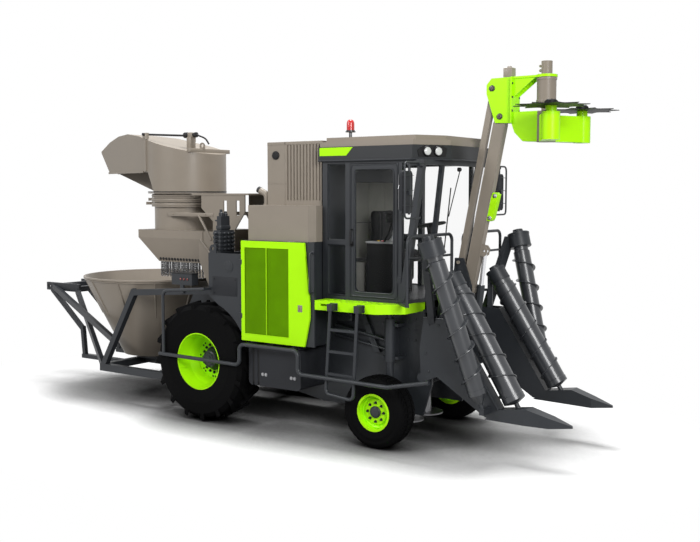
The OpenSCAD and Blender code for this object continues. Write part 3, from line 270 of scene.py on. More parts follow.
def lathe(bm, centre, axis, profile, n):
    """Turned form: profile is (radius, distance along the axis) from end to end."""
    loft(bm, turned(centre, axis, profile, n), caps=True)


def lathe_ring(bm, centre, axis, profile, n=36):
    """Turned ring whose profile closes on itself."""
    rings = turned(centre, axis, profile, n)
    loft(bm, rings + [rings[0]])


def band(bm, centre, axis, inner, outer, low, high, n):
    """Turned ring of rectangular section."""
    lathe_ring(bm, centre, axis, ((inner, low), (outer, low), (outer, high), (inner, high)), n)


def knob(bm, at, axis, r, side, neck, top, n, sink=0.0, crown=0.001):
    """Turned cap: a straight side, a chamfer up to the neck radius and a slightly domed top."""
    lathe(bm, at, axis, ((r, -sink), (r, side), (neck, top), (0.0, top + crown)), n)


def eased(points, radius, steps=5):
    """The same path with its corners rounded."""
    pts = [Vector(p) for p in points]
    path = [pts[0]]
    for before, corner, after in zip(pts, pts[1:], pts[2:]):
        reach = min(radius, (before - corner).length / 2.01, (after - corner).length / 2.01)
        a = corner + (before - corner).normalized() * reach
        b = corner + (after - corner).normalized() * reach
        for i in range(steps + 1):
            t = i / steps
            path.append(a * (1 - t) ** 2 + corner * (2 * t * (1 - t)) + b * t ** 2)
    path.append(pts[-1])
    return path


def tube(bm, points, r, n, bend=0.0, closed=False):
    path = eased(points, bend) if bend else [Vector(p) for p in points]
    count = len(path)
    u, v = cross_axes(path[1] - path[0])
    rings = []
    for i, p in enumerate(path):
        before = path[i - 1] if i or closed else path[0]
        after = path[(i + 1) % count] if i < count - 1 or closed else path[-1]
        d = (after - before).normalized()
        u = (u - d * u.dot(d)).normalized()
        v = d.cross(u)
        rings.append(ring(p, u, v, r, n))
    rows = loft(bm, rings, caps=not closed)
    if closed:
        for i in range(n):
            j = (i + 1) % n
            bm.faces.new((rows[-1][i], rows[-1][j], rows[0][j], rows[0][i]))


def grip(bm, x, foot, reach, z0, z1, r, n, bend):
    """Bent bar that stands out from an upright face."""
    tube(bm, [(x, foot, z0), (x, reach, z0), (x, reach, z1), (x, foot, z1)], r, n, bend)


def box(bm, low, high, bevel=0.003, segments=2):
    low, high = Vector(low), Vector(high)
    made = bmesh.ops.create_cube(bm, size=1.0)["verts"]
    size = high - low
    for vert in made:
        vert.co = Vector(c * s for c, s in zip(vert.co, size)) + (low + high) / 2
    edges = {e for vert in made for e in vert.link_edges}
    bmesh.ops.bevel(bm, geom=list(edges), offset=bevel, segments=segments, affect="EDGES", profile=0.5)


def rectangle(u0, u1, v0, v1):
    return (u0, v0), (u1, v0), (u1, v1), (u0, v1)


def bar(bm, low, high):
    """Square bar with no bevel, for what repeats hundreds of times."""
    (x0, y0, z0), (x1, y1, z1) = low, high
    loft(bm, [[Vector((x, y, z)) for x, y in rectangle(x0, x1, y0, y1)] for z in (z0, z1)], caps=True)


def prism(bm, outline, origin, u, v, depth, bevel=0.0):
    """Plate with an outline in the (u, v) plane, raised along u x v, its top edge drawn in by the bevel."""
    origin, u, v = Vector(origin), Vector(u).normalized(), Vector(v).normalized()
    w = u.cross(v)
    base = [origin + u * a + v * b for a, b in outline]
    rings = [base, [p + w * (depth - bevel) for p in base]]
    if bevel:
        middle = sum(base, Vector()) / len(base)
        rings.append([p + (middle - p).normalized() * bevel + w * depth for p in base])
    loft(bm, rings, caps=True)


def hex_bolt(bm, at, axis, r, h):
    """Hexagon head on a washer."""
    washer = 0.0025
    lathe(bm, at, axis, ((r * 1.35, 0.0), (r * 1.35, washer)), 16)
    lathe(bm, at, axis, ((r, washer), (r, h * 0.8), (r * 0.82, h)), 6)


def bolts(bm, places, axis, r, h):
    for at in places:
        hex_bolt(bm, at, axis, r, h)


def side_ring(hub, depth, r, n, turn=0.0):
    """Points on a circle that faces the right side, at a depth out from the hub."""
    return ring(hub + RIGHT * depth, FORE, UP, r, n, turn)


def mirrored(bm):
    """Adds the same geometry on the machine's other side."""
    copy = bmesh.ops.duplicate(bm, geom=bm.verts[:] + bm.edges[:] + bm.faces[:])["geom"]
    for vert in (g for g in copy if isinstance(g, bmesh.types.BMVert)):
        vert.co.y = -vert.co.y
    bmesh.ops.reverse_faces(bm, faces=[g for g in copy if isinstance(g, bmesh.types.BMFace)])


def settle(name, bm, material):
    """Turns the built mesh into an object in the row frame."""
    bmesh.ops.recalc_face_normals(bm, faces=bm.faces[:])
    bmesh.ops.translate(bm, verts=bm.verts[:], vec=(-X_MID, 0.0, 0.0))
    mesh = bpy.data.meshes.new(name)
    bm.to_mesh(mesh)
    bm.free()
    for face in mesh.polygons:
        face.use_smooth = True
    mesh.set_sharp_from_angle(angle=SMOOTH_ANGLE)
    mesh.materials.append(material)
    return add_object(name, mesh)


def declare(obj, body, replaces):
    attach(obj, body)
    if replaces:
        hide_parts(replaces)


def piece(slot, look=None, body="chassis", both=False, replaces=""):
    """Makes a piece with the function that follows, and names it after that function.
    both adds its mirror image on the left."""
    def make(build):
        bm = bmesh.new()
        build(bm)
        if both:
            mirrored(bm)
        declare(settle(build.__name__, bm, look or SLOT_LOOKS[slot]), body, replaces)
        return build
    return make


def pair(slot, body, look=None, replaces=""):
    """The same for a piece on the right and its mirror image on the left, each on its own body."""
    def make(build):
        for side, sign in (("right", 1.0), ("left", -1.0)):
            bm = bmesh.new()
            build(bm)
            for vert in bm.verts:
                vert.co.y *= sign
            obj = settle(f"{build.__name__}_{side}", bm, look or SLOT_LOOKS[slot])
            declare(obj, body.format(side=side), replaces.format(side=side))
        return build
    return make


# Wheels
REAR_HUB = Vector((0.0, 0.0, 0.765))
FRONT_HUB = Vector((2.56, 0.0, 0.415))
REAR_WHEEL, FRONT_WHEEL = "rear_wheel_{side}", "front_wheel_{side}"


@pair("grey_paint", REAR_WHEEL)
def rear_hub_cap(bm):
    profile = (
        (0.153, 0.853), (0.153, 0.862), (0.146, 0.868), (0.124, 0.893), (0.1155, 0.936), (0.112, 0.946),
        (0.1, 0.955), (0.078, 0.957), (0.074, 0.966), (0.05, 0.969), (0.046, 0.977), (0.0, 0.979),
    )
    lathe(bm, REAR_HUB, RIGHT, profile, 56)
    bolts(bm, side_ring(REAR_HUB, 0.954, 0.09, 8), RIGHT, 0.008, 0.009)


@pair("engine_black", REAR_WHEEL)
def rear_wheel_nuts(bm):
    bolts(bm, side_ring(REAR_HUB, 0.8555, 0.182, 16), RIGHT, 0.015, 0.022)


@pair("black_plastic", REAR_WHEEL)
def rear_wheel_eyelets(bm):
    for turn in (-0.09, 0.09):
        for at in side_ring(REAR_HUB, 0.858, 0.236, 8, turn):
            lathe(bm, at, RIGHT, ((0.013, 0.0), (0.013, 0.003), (0.009, 0.0035), (0.0, 0.001)), 20)


@pair("black_plastic", REAR_WHEEL)
def rear_valve(bm):
    profile = ((0.007, -0.004), (0.007, 0.012), (0.0045, 0.014), (0.0045, 0.034), (0.0, 0.036))
    for at in side_ring(REAR_HUB, 0.905, 0.3, 1, radians(62)):
        lathe(bm, at, RIGHT, profile, 14)


@pair("lime_paint", FRONT_WHEEL)
def front_wheel_face(bm):
    """Dished face of a front wheel, inside its rim."""
    profile = (
        (0.1895, 0.905), (0.1895, 0.94), (0.18, 0.944), (0.166, 0.936), (0.156, 0.938), (0.148, 0.95),
        (0.138, 0.955), (0.072, 0.955), (0.0, 0.957),
    )
    lathe(bm, FRONT_HUB, RIGHT, profile, 64)


@pair("grey_paint", FRONT_WHEEL)
def front_hub_cap(bm):
    profile = (
        (0.068, 0.953), (0.068, 0.972), (0.064, 0.977), (0.058, 0.979), (0.055, 0.988), (0.04, 0.993),
        (0.0, 0.994),
    )
    lathe(bm, FRONT_HUB, RIGHT, profile, 48)


@pair("engine_black", FRONT_WHEEL)
def front_wheel_nuts(bm):
    bolts(bm, side_ring(FRONT_HUB, 0.9545, 0.108, 8), RIGHT, 0.013, 0.024)


TYRE_R, TYRE_HALF, TYRE_MID, TYRE_RIM = 0.415, 0.15, 0.88, 0.2165
GROOVE, SHOULDER, SHOULDER_DROP = 0.013, 0.11, 0.006
BLOCK_COUNT = 38
BLOCK_HALF_TURN = 0.68 * pi / BLOCK_COUNT


def tread_block(bm, centre, middle, across, width, skew):
    def at(turn, side, r):
        h = across + side * width / 2
        a = middle + turn * BLOCK_HALF_TURN + skew * side
        past = abs(h) - SHOULDER
        r -= SHOULDER_DROP * abs(h) / SHOULDER if past < 0 else SHOULDER_DROP + past * 0.7
        return centre + Vector((r * cos(a), -h, r * sin(a)))
    corners = rectangle(-1, 1, -1, 1)
    foot = [at(t, s, TYRE_R - GROOVE - 0.008) for t, s in corners]
    shoulder = [at(t, s, TYRE_R - 0.002) for t, s in corners]
    top = [at(0.93 * t, 0.95 * s, TYRE_R - 0.0003) for t, s in corners]
    loft(bm, [foot, shoulder, top], caps=True)


@pair("tyre_rubber", FRONT_WHEEL, replaces="front_tyre_{side}")
def front_tread(bm):
    """Tyre with a carcass, sidewall ribs and three rows of tread blocks."""
    inner = ((0.0, 0.016), (0.04, 0.006), (0.06, 0.003), (0.066, 0.0), (0.09, 0.0), (0.096, 0.003))
    outer = (
        (0.072, 0.003), (0.066, 0.001), (0.048, 0.007), (0.026, 0.02), (SHOULDER_DROP + GROOVE, 0.042),
    )
    wall = [(TYRE_RIM + r, h - TYRE_HALF) for r, h in inner] + [(TYRE_R - r, h - TYRE_HALF) for r, h in outer]
    profile = wall + [(TYRE_R - GROOVE, 0.0)] + [(r, -h) for r, h in reversed(wall)]
    centre = FRONT_HUB + RIGHT * TYRE_MID
    lathe_ring(bm, centre, RIGHT, profile, 96)
    for across, width, skew in ((-0.094, 0.066, 0.1), (0.0, 0.084, 0.0), (0.094, 0.066, -0.1)):
        for i in range(BLOCK_COUNT):
            middle = 2 * pi * (i + (0.5 if across else 0.0)) / BLOCK_COUNT
            tread_block(bm, centre, middle, across, width, skew)


# Engine side doors
SIDE_DOOR = "side_door_{side}"
DOOR_FACE, PANEL_FLOOR = 1.122, 1.112
PANELS = ((0.764, 1.094), (1.11, 1.44))
PANEL_LOW, PANEL_HIGH = 1.189, 2.235
MESH_PITCH, MESH_WIRE, MESH_BACK = 0.015, 0.0022, 0.0015


@pair("lime_paint", SIDE_DOOR, LIME_DARK)
def door_mesh_backing(bm):
    gap = 0.001
    for x0, x1 in PANELS:
        low = (x0 + gap, -PANEL_FLOOR - MESH_BACK, PANEL_LOW + gap)
        box(bm, low, (x1 - gap, -PANEL_FLOOR, PANEL_HIGH - gap), 0.0005, 1)


@pair("lime_paint", SIDE_DOOR, LIME_DARK)
def door_mesh_wires(bm):
    y0, y1, over = -PANEL_FLOOR - 0.005, -PANEL_FLOOR - MESH_BACK, 0.0008
    height = PANEL_HIGH - PANEL_LOW
    upward = round(height / MESH_PITCH)
    for x0, x1 in PANELS:
        across = round((x1 - x0) / MESH_PITCH)
        for i in range(1, across):
            x = x0 + (x1 - x0) * i / across
            bar(bm, (x - MESH_WIRE, y0, PANEL_LOW), (x + MESH_WIRE, y1, PANEL_HIGH))
        for i in range(1, upward):
            z = PANEL_LOW + height * i / upward
            bar(bm, (x0, y0 - over, z - MESH_WIRE), (x1, y1 - over, z + MESH_WIRE))


@pair("lime_paint", SIDE_DOOR)
def door_mesh_lips(bm):
    """Raised lips round the two mesh windows."""
    lip, proud = 0.01, DOOR_FACE + 0.003
    for x0, x1 in PANELS:
        rings = []
        for grow, y in ((0.0, PANEL_FLOOR), (0.0, proud), (lip, proud), (lip, DOOR_FACE)):
            outline = rectangle(x0 - grow, x1 + grow, PANEL_LOW - grow, PANEL_HIGH + grow)
            rings.append([Vector((x, -y, z)) for x, z in outline])
        loft(bm, rings)


@pair("beige_paint", SIDE_DOOR)
def door_latch(bm):
    box(bm, (1.578, -DOOR_FACE - 0.006, 1.503), (1.642, -DOOR_FACE + 0.008, 1.585), 0.005, 3)
    box(bm, (1.59, -DOOR_FACE - 0.013, 1.52), (1.606, -DOOR_FACE - 0.004, 1.568))
    knob(bm, (1.624, -DOOR_FACE - 0.005, 1.544), RIGHT, 0.01, 0.005, 0.007, 0.006, 20, crown=0.0)


# Body panels and tanks
PANEL_FACE = 1.09
PANEL_COVER = Vector((0.47, 0.0, 1.985))
GRAB_X, GRAB_TOP, GRAB_FOOT = 1.772, 2.2, 1.74
EYE_HALF = RIGHT * 0.008


@piece("grey_paint", TANK, both=True)
def panel_plate(bm):
    """Raised plate on the panel over the rear wheel, with its bolts."""
    proud = -PANEL_FACE - 0.006
    box(bm, (0.205, proud, 1.62), (0.61, -PANEL_FACE + 0.002, 1.855), 0.004)
    bolts(bm, [(x, proud, z) for x in (0.235, 0.58) for z in (1.65, 1.825)], RIGHT, 0.009, 0.008)


def lifting_eye(bm, foot, r, hole):
    """Rounded upright lug with a hole."""
    foot, middle = Vector(foot), UP * r
    arc = [pi * i / 12 for i in range(13)]
    outer = [FORE * r] + [middle + (FORE * cos(a) + UP * sin(a)) * r for a in arc] + [FORE * -r]
    inner = [middle + (p - middle).normalized() * hole for p in outer]
    lines = ((outer, EYE_HALF), (outer, -EYE_HALF), (inner, -EYE_HALF), (inner, EYE_HALF))
    rings = [[foot + p + side for p in line] for line, side in lines]
    loft(bm, rings + [rings[0]])


@piece("grey_paint", both=True)
def panel_fittings(bm):
    """Lifting eye, round cover and grab handle."""
    lifting_eye(bm, (0.205, -PANEL_FACE + 0.015, 2.14), 0.055, 0.024)
    bolts(bm, side_ring(PANEL_COVER, PANEL_FACE + 0.003, 0.055, 8), RIGHT, 0.006, 0.006)
    cover = PANEL_COVER + RIGHT * PANEL_FACE
    knob(bm, cover, RIGHT, 0.075, 0.004, 0.072, 0.005, 36, sink=0.002, crown=0.0)
    grip(bm, GRAB_X, -PANEL_FACE + 0.004, -1.15, GRAB_TOP, GRAB_FOOT, 0.012, 12, 0.045)
    for z in (GRAB_FOOT, GRAB_TOP):
        foot = (GRAB_X, -PANEL_FACE, z)
        knob(bm, foot, RIGHT, 0.024, 0.006, 0.015, 0.009, 20, sink=0.002, crown=0.0)


@piece("black_plastic", both=True)
def tank_straps(bm):
    """Bands in the tank's two grooves."""
    low, high, inner, outer = 0.555, 1.04, -0.58, -1.09
    near, far = FORE * 0.003, FORE * 0.025
    for x in (0.85, 0.93):
        loops = []
        for sink in (0.011, 0.004):
            outline = rectangle(outer + sink, inner - sink, low + sink, high - sink)
            path = [(x, y, z) for y, z in outline]
            loops.append(eased(path + path[:2], 0.052)[1:-1])
        rings = [[p + side for p in loops[i]] for i, side in ((0, near), (1, near), (1, far), (0, far))]
        loft(bm, rings + [rings[0]], closed=False)


@piece("bare_steel", both=True)
def tank_bolts(bm):
    bolts(bm, [(x, -PANEL_FACE, 0.7) for x in (1.01, 1.06, 1.45, 1.5)], RIGHT, 0.016, 0.012)


# Ladder and platform
@piece("grey_paint")
def ladder_plates(bm):
    """Bolted plates that hold the ladder's two stiles to the platform."""
    face = -1.098
    for x in (2.078, 2.448):
        box(bm, (x - 0.05, face, 1.552), (x + 0.05, -PANEL_FACE + 0.002, 1.64))
        bolts(bm, [(x + dx, face, z) for dx in (-0.042, 0.042) for z in (1.566, 1.626)], RIGHT, 0.007, 0.007)


@piece("grey_paint")
def rung_treads(bm):
    """Raised teeth on the ladder's rungs."""
    count, margin, half = 14, 0.03, 0.006
    for z, x0, x1 in ((1.34, 2.055, 2.43), (1.09, 2.04, 2.418), (0.83, 2.026, 2.404)):
        for i in range(count):
            x = x0 + margin + (x1 - x0 - 2 * margin) * i / (count - 1)
            box(bm, (x - half, -1.174, z + 0.013), (x + half, -1.152, z + 0.019), 0.002, 1)


@piece("lime_paint", both=True)
def platform_treads(bm):
    """Anti-slip bars on the platform."""
    for i in range(9):
        x = 1.9 + 0.085 * i
        for y in (-1.05, -0.94):
            box(bm, (x, y, 1.654), (x + 0.055, y + 0.012, 1.659), 0.002, 1)


# Cooling tower and exhaust
TOWER_Y = 0.8
TOWER_CAP = Vector((1.0, 0.0, 3.345))


@piece("black_plastic")
def tower_cap(bm):
    profile = ((0.052, -0.004), (0.052, 0.012), (0.044, 0.02), (0.02, 0.022), (0.0, 0.022))
    lathe(bm, TOWER_CAP + RIGHT * TOWER_Y, RIGHT, profile, 32)
    for at in side_ring(TOWER_CAP, TOWER_Y, 0.034, 6):
        box(bm, at + Vector((-0.006, -0.024, -0.006)), at + Vector((0.006, -0.018, 0.006)), 0.002, 1)


@piece("beige_paint", both=True)
def tower_strips(bm):
    """Joint strips between the tower's panels."""
    strips = (
        (0.866, 1.165, 3.0, 3.008, 0.001), (1.135, 1.15, 2.746, 3.5, 0.002),
        (0.866, 1.69, 3.47, 3.503, 0.002),
    )
    for x0, x1, z0, z1, bevel in strips:
        box(bm, (x0, -TOWER_Y - 0.004, z0), (x1, -TOWER_Y + 0.002, z1), bevel, 1)


@piece("beige_paint")
def tower_louvres(bm):
    """Louvres on the tower's rear face, in their frame."""
    half, rim, back, face = 0.66, 0.7, 0.852, 0.868
    slat = ((0.866, 0.0), (0.85, -0.018), (0.853, -0.02), (0.867, -0.008))
    for i in range(12):
        z = 2.86 + 0.048 * i
        loft(bm, [[Vector((x, y, z + dz)) for x, dz in slat] for y in (-half, half)], caps=True)
    for y in (-rim, half):
        box(bm, (back, y, 2.82), (face, y + 0.04, 3.43))
    for z in (2.8, 3.42):
        box(bm, (back, -rim, z), (face, rim, z + 0.03))


@piece("engine_black")
def exhaust_mouth(bm):
    profile = ((0.03, -0.03), (0.04, -0.03), (0.04, 0.004), (0.036, 0.006), (0.031, 0.004))
    lathe(bm, (0.68, -0.75, 2.933), (-0.914, 0.0, 0.406), profile, 28)


# Cab outside
CAB_Y, ROOF_Y = 0.85, 0.88
HANDLE_X = 2.163


def loop_seal(bm, x0, x1, z0, z1, y, r, bend):
    middle = ((x0 + x1) / 2, y, z0)
    corners = [middle, (x1, y, z0), (x1, y, z1), (x0, y, z1), (x0, y, z0), middle]
    tube(bm, eased(corners, bend, 6)[:-1], r, 8, closed=True)


@piece("black_plastic", GREY, "cab_door")
def cab_door_seals(bm):
    loop_seal(bm, 2.19, 2.725, 1.755, 3.165, -CAB_Y + 0.001, 0.01, 0.06)
    loop_seal(bm, 2.145, 2.77, 1.71, 3.21, -CAB_Y, 0.008, 0.05)


@piece("black_plastic", body="cab_door")
def cab_door_handle(bm):
    grip(bm, HANDLE_X, -CAB_Y, -0.888, 2.3, 2.47, 0.01, 10, 0.025)
    box(bm, (2.147, -CAB_Y - 0.01, 2.275), (2.18, -CAB_Y + 0.001, 2.335), 0.004)
    lathe(bm, (HANDLE_X, -CAB_Y - 0.01, 2.29), RIGHT, ((0.009, 0.0), (0.009, 0.004), (0.0, 0.005)), 16)


@piece("black_plastic", GREY, both=True)
def pane_seals(bm):
    for z0, z1 in ((1.704, 2.291), (2.349, 3.222)):
        loop_seal(bm, 1.812, 2.063, z0, z1, -0.828, 0.008, 0.03)


@piece("lime_paint")
def roof_badge_blank(bm):
    outline = ((1.722, 3.318), (2.1, 3.318), (2.19, 3.412), (1.722, 3.412))
    prism(bm, outline, RIGHT * (ROOF_Y - 0.001), FORE, UP, 0.007, 0.0015)


# Two lamps on the slanting corner of the roof's fascia
CORNER_REAR, CORNER_FRONT = Vector((2.98, -0.88, 3.35)), Vector((3.23, -0.45, 3.35))
CORNER = CORNER_FRONT - CORNER_REAR
CORNER_OUT = Vector((CORNER.y, -CORNER.x, 0.0)).normalized()
ROOF_LAMPS = [CORNER_REAR + CORNER * k for k in (0.36, 0.64)]


@piece("black_plastic", both=True)
def lamp_pods(bm):
    """Moulded plate behind the two lamps."""
    outline = ((-0.1, -0.06), (0.24, -0.06), (0.26, 0.03), (0.2, 0.068), (-0.04, 0.068), (-0.12, 0.01))
    prism(bm, outline, ROOF_LAMPS[0] - CORNER_OUT * 0.003, CORNER, UP, 0.012, 0.004)


@piece("black_plastic", both=True)
def lamp_bezels(bm):
    profile = (
        (0.0445, -0.004), (0.06, -0.004), (0.058, 0.024), (0.052, 0.034), (0.0465, 0.034), (0.0445, 0.024)
    )
    for at in ROOF_LAMPS:
        lathe_ring(bm, at, CORNER_OUT, profile)


@piece("lamp_lens", both=True)
def lamp_glasses(bm):
    profile = ((0.044, 0.0), (0.043, 0.006), (0.034, 0.011), (0.018, 0.014), (0.0, 0.015))
    for at in ROOF_LAMPS:
        lathe(bm, at + CORNER_OUT * 0.022, CORNER_OUT, profile, 32)


@piece("grey_paint")
def roof_gutter(bm):
    """Drip rail round the foot of the roof's fascia."""
    z = 3.262
    half = [(1.7, -0.884, z), (2.982, -0.884, z), (3.234, -0.452, z)]
    tube(bm, half + [(x, -y, z) for x, y, z in reversed(half)], 0.01, 8, 0.03)


def on_windscreen(y, z, proud):
    """Place in front of the slanting windscreen."""
    foot_x, foot_z, lean, height = 2.922, 1.655, 0.19, 1.605
    return Vector((foot_x + lean * (z - foot_z) / height + proud, y, z))


@piece("black_plastic")
def front_wiper(bm):
    pivot = on_windscreen(-0.06, 3.16, 0.03)
    tube(bm, [pivot, on_windscreen(-0.2, 2.62, 0.024)], 0.006, 8)
    lathe(bm, pivot - FORE * 0.028, FORE, ((0.024, 0.0), (0.024, 0.03), (0.016, 0.04), (0.0, 0.041)), 20)
    tube(bm, [on_windscreen(-0.205, 2.95, 0.014), on_windscreen(-0.2, 2.25, 0.014)], 0.007, 6)


# Mirrors in their guards
MIRROR_X, MIRROR_Y, MIRROR_DEPTH, MIRROR_WIDTH = 3.042, -1.11, 0.036, 0.106
MIRROR_ROUND = 0.55
GUARD_X = 3.095


@piece("black_plastic", TANK, both=True)
def mirror_shells(bm):
    """Tall rounded housing."""
    levels = (
        (2.672, 0.72), (2.68, 0.86), (2.7, 0.97), (2.74, 1.0), (3.06, 1.0), (3.1, 0.97), (3.12, 0.86),
        (3.128, 0.72),
    )
    outline = []
    for p in ring(Vector(), FORE, -RIGHT, 1.0, 24):
        u, v = (copysign(abs(k) ** MIRROR_ROUND, k) for k in p.xy)
        outline.append(FORE * (MIRROR_DEPTH * u) - RIGHT * (MIRROR_WIDTH * v))
    loft(bm, [[Vector((MIRROR_X, MIRROR_Y, z)) + p * k for p in outline] for z, k in levels], caps=True)


@piece("chrome_rod", both=True)
def mirror_faces(bm):
    box(bm, (3.0035, -1.2, 2.715), (3.0065, -1.02, 3.085), 0.001, 1)


@piece("grey_paint", both=True)
def mirror_guards(bm):
    """Tubular hoop with three wires in front of each mirror."""
    inner, outer, low, high = -0.905, -1.222, 2.62, 3.22
    hoop = [(GUARD_X, inner, low), (GUARD_X, outer, low), (GUARD_X, outer, high)]
    hoop.append((GUARD_X - 0.015, inner, high))
    tube(bm, hoop, 0.011, 10, 0.06)
    for z in (2.76, 2.92, 3.08):
        wire = [(3.07, -1.228, z), (GUARD_X, outer, z), (3.098, -1.06, z), (3.07, -1.0, z)]
        tube(bm, wire, 0.004, 6, 0.02)
    box(bm, (3.04, -0.93, 3.185), (3.11, -0.862, 3.215), 0.004)
    box(bm, (3.052, -1.13, 2.87), (3.1, -1.07, 2.93), 0.006)


# Controls
CONSOLE_Y = -0.35


@piece("black_plastic", GREY_LIGHT)
def console_top(bm):
    box(bm, (2.05, CONSOLE_Y - 0.065, 2.292), (2.455, CONSOLE_Y + 0.065, 2.318), 0.01, 3)
    box(bm, (2.3, CONSOLE_Y - 0.055, 2.316), (2.44, CONSOLE_Y + 0.055, 2.33), 0.008, 3)


@piece("black_plastic", GREY_LIGHT)
def console_stick(bm):
    base, lean = Vector((2.375, CONSOLE_Y, 2.328)), Vector((0.42, 0.0, 1.0))
    boot = ((0.03, 0.0), (0.024, 0.012), (0.013, 0.03), (0.011, 0.06), (0.014, 0.075), (0.0, 0.078))
    handle = ((0.013, 0.0), (0.022, 0.01), (0.025, 0.05), (0.028, 0.085), (0.024, 0.105), (0.0, 0.112))
    lathe(bm, base, lean, boot, 20)
    lathe(bm, base + lean.normalized() * 0.072, lean, handle, 24)


def console_button(bm, x):
    knob(bm, (x, CONSOLE_Y, 2.316), UP, 0.016, 0.01, 0.013, 0.014, 20)


@piece("black_plastic", YELLOW)
def console_button_yellow(bm):
    console_button(bm, 2.2)


@piece("beacon_red")
def console_button_red(bm):
    console_button(bm, 2.255)


@piece("black_plastic")
def cab_monitor(bm):
    tube(bm, [(2.3, -0.395, 2.3), (2.42, -0.46, 2.44), (2.46, -0.47, 2.56)], 0.011, 8, 0.05)
    screen = rectangle(-0.075, 0.075, -0.055, 0.055)
    prism(bm, screen, (2.455, -0.47, 2.6), (0.35, 0.94, 0.0), UP, 0.024, 0.006)


# Lining of the cab's rear wall
LINING_X, LOCKER_X = 1.77, 1.96


@piece("black_plastic", LINING)
def cab_lining(bm):
    """Trim panels with a groove between them, and the locker behind the seat."""
    for y0, y1 in ((-0.3, 0.055), (0.065, 0.42), (0.43, 0.77)):
        for z0, z1 in ((2.09, 2.52), (2.53, 3.02)):
            box(bm, (LINING_X, y0, z0), (LINING_X + 0.016, y1, z1), 0.006, 3)
    for y0, y1 in ((-0.3, 0.045), (0.055, 0.4)):
        box(bm, (LINING_X, y0, 1.697), (LOCKER_X, y1, 2.05), 0.01, 3)
        box(bm, (LOCKER_X - 0.002, y0 + 0.15, 1.93), (LOCKER_X + 0.006, y0 + 0.2, 1.942), 0.002, 1)


# Seat: two padded cushions, pedestal and bellows
CUSHION_BEVEL, CUSHION_VOXEL = 0.035, 0.011
SWELL_PRESSURE, SWELL_STEPS, SWELL_MOST = 4.0, 18, 0.018
SEAM_WIDTH, SEAM_DEPTH = 0.016, 0.01


def bake(obj):
    """Applies the object's modifiers to its mesh."""
    graph = bpy.context.evaluated_depsgraph_get()
    mesh = bpy.data.meshes.new_from_object(obj.evaluated_get(graph))
    obj.modifiers.clear()
    obj.data = mesh


def blow_up(obj):
    """Swells the object as cloth under pressure, no point farther than the most it may."""
    start = [v.co.copy() for v in obj.data.vertices]
    cloth = obj.modifiers.new("cloth", "CLOTH")
    cloth.settings.quality = 6
    cloth.settings.use_pressure = True
    cloth.settings.uniform_pressure_force = SWELL_PRESSURE
    cloth.settings.effector_weights.gravity = 0.0
    cloth.collision_settings.use_self_collision = False
    for step in range(1, SWELL_STEPS + 1):
        bpy.context.scene.frame_set(step)
    bake(obj)
    bpy.context.scene.frame_set(1)
    for vert, home in zip(obj.data.vertices, start):
        move = vert.co - home
        if move.length > SWELL_MOST:
            vert.co = home + move.normalized() * SWELL_MOST


def draw_seams(obj, face, seams):
    for vert in obj.data.vertices:
        for axis, at in seams:
            off = abs(vert.co[axis] - (at - (X_MID if axis == 0 else 0.0)))
            sink = SEAM_DEPTH * exp(-(off / SEAM_WIDTH) ** 2)
            vert.co[face] -= copysign(sink, vert.normal[face]) * abs(vert.normal[face])


def swollen(name, low, high, face, seams, replaces=""):
    """Sewn cushion: a slack block blown up as cloth, then drawn in along its seams.
    face is the axis of its broad side, seams the (axis, place) of each seam across that side."""
    bm = bmesh.new()
    box(bm, low, high, CUSHION_BEVEL, 3)
    obj = settle(name, bm, VINYL)
    remesh = obj.modifiers.new("remesh", "REMESH")
    remesh.mode = "VOXEL"
    remesh.voxel_size = CUSHION_VOXEL
    bake(obj)
    blow_up(obj)
    draw_seams(obj, face, seams)
    for polygon in obj.data.polygons:
        polygon.use_smooth = True
    fine = obj.modifiers.new("fine", "SUBSURF")
    fine.levels = fine.render_levels = 1
    bake(obj)
    obj.data.materials.clear()
    obj.data.materials.append(VINYL)
    declare(obj, "chassis", replaces)


PAN_SEAMS, BACK_SEAMS = ((1, -0.12), (1, 0.12), (0, 2.13)), ((1, -0.12), (1, 0.12), (2, 2.56))
swollen("seat_cushion", (2.02, -0.235, 2.09), (2.465, 0.235, 2.19), 2, PAN_SEAMS, "operator_seat")
swollen("seat_backrest", (1.978, -0.222, 2.205), (2.072, 0.222, 2.69), 0, BACK_SEAMS)


@piece("black_plastic")
def seat_base(bm):
    box(bm, (2.06, -0.2, 1.695), (2.34, 0.2, 1.9), 0.012, 3)
    fold = ((0.115, 0.0), (0.138, 0.01), (0.138, 0.02), (0.115, 0.032))
    for i in range(5):
        lathe(bm, (2.2, 0.0, 1.905 + 0.034 * i), UP, fold, 32)
    box(bm, (2.03, -0.22, 2.062), (2.45, 0.22, 2.082), 0.006)
    for y in (-0.275, 0.255):
        box(bm, (2.05, y, 2.3), (2.33, y + 0.02, 2.33), 0.009, 3)


# Extractor and its hood
EXTRACTOR = Vector((-1.275, 0.0, 0.0))
HOOD = "extractor_hood"
NECK_R, CATCH_R, HOOD_R, NOSE_REACH = 0.462, 0.545, 0.548, 1.8
NECK_FACE = -0.5


@piece("black_plastic")
def ring_seams(bm):
    """Rubber seams between the ring's flanges."""
    for low, high in ((2.714, 2.762), (2.776, 2.824), (2.838, 2.882)):
        band(bm, EXTRACTOR, UP, NECK_R - 0.002, NECK_R + 0.004, low, high, 72)


@piece("beige_paint")
def ring_courses(bm):
    """Rounded courses of the ring, between dark seams."""
    arc = [radians(a) for a in range(-90, 91, 30)]
    for low, high in ((2.704, 2.758), (2.77, 2.822), (2.834, 2.878)):
        mid, half = (low + high) / 2, (high - low) / 2
        bulge = [(NECK_R + 0.002 + 0.04 * cos(a) ** 0.5, mid + half * sin(a)) for a in arc]
        lathe_ring(bm, EXTRACTOR, UP, [(NECK_R, low)] + bulge + [(NECK_R, high)], 72)


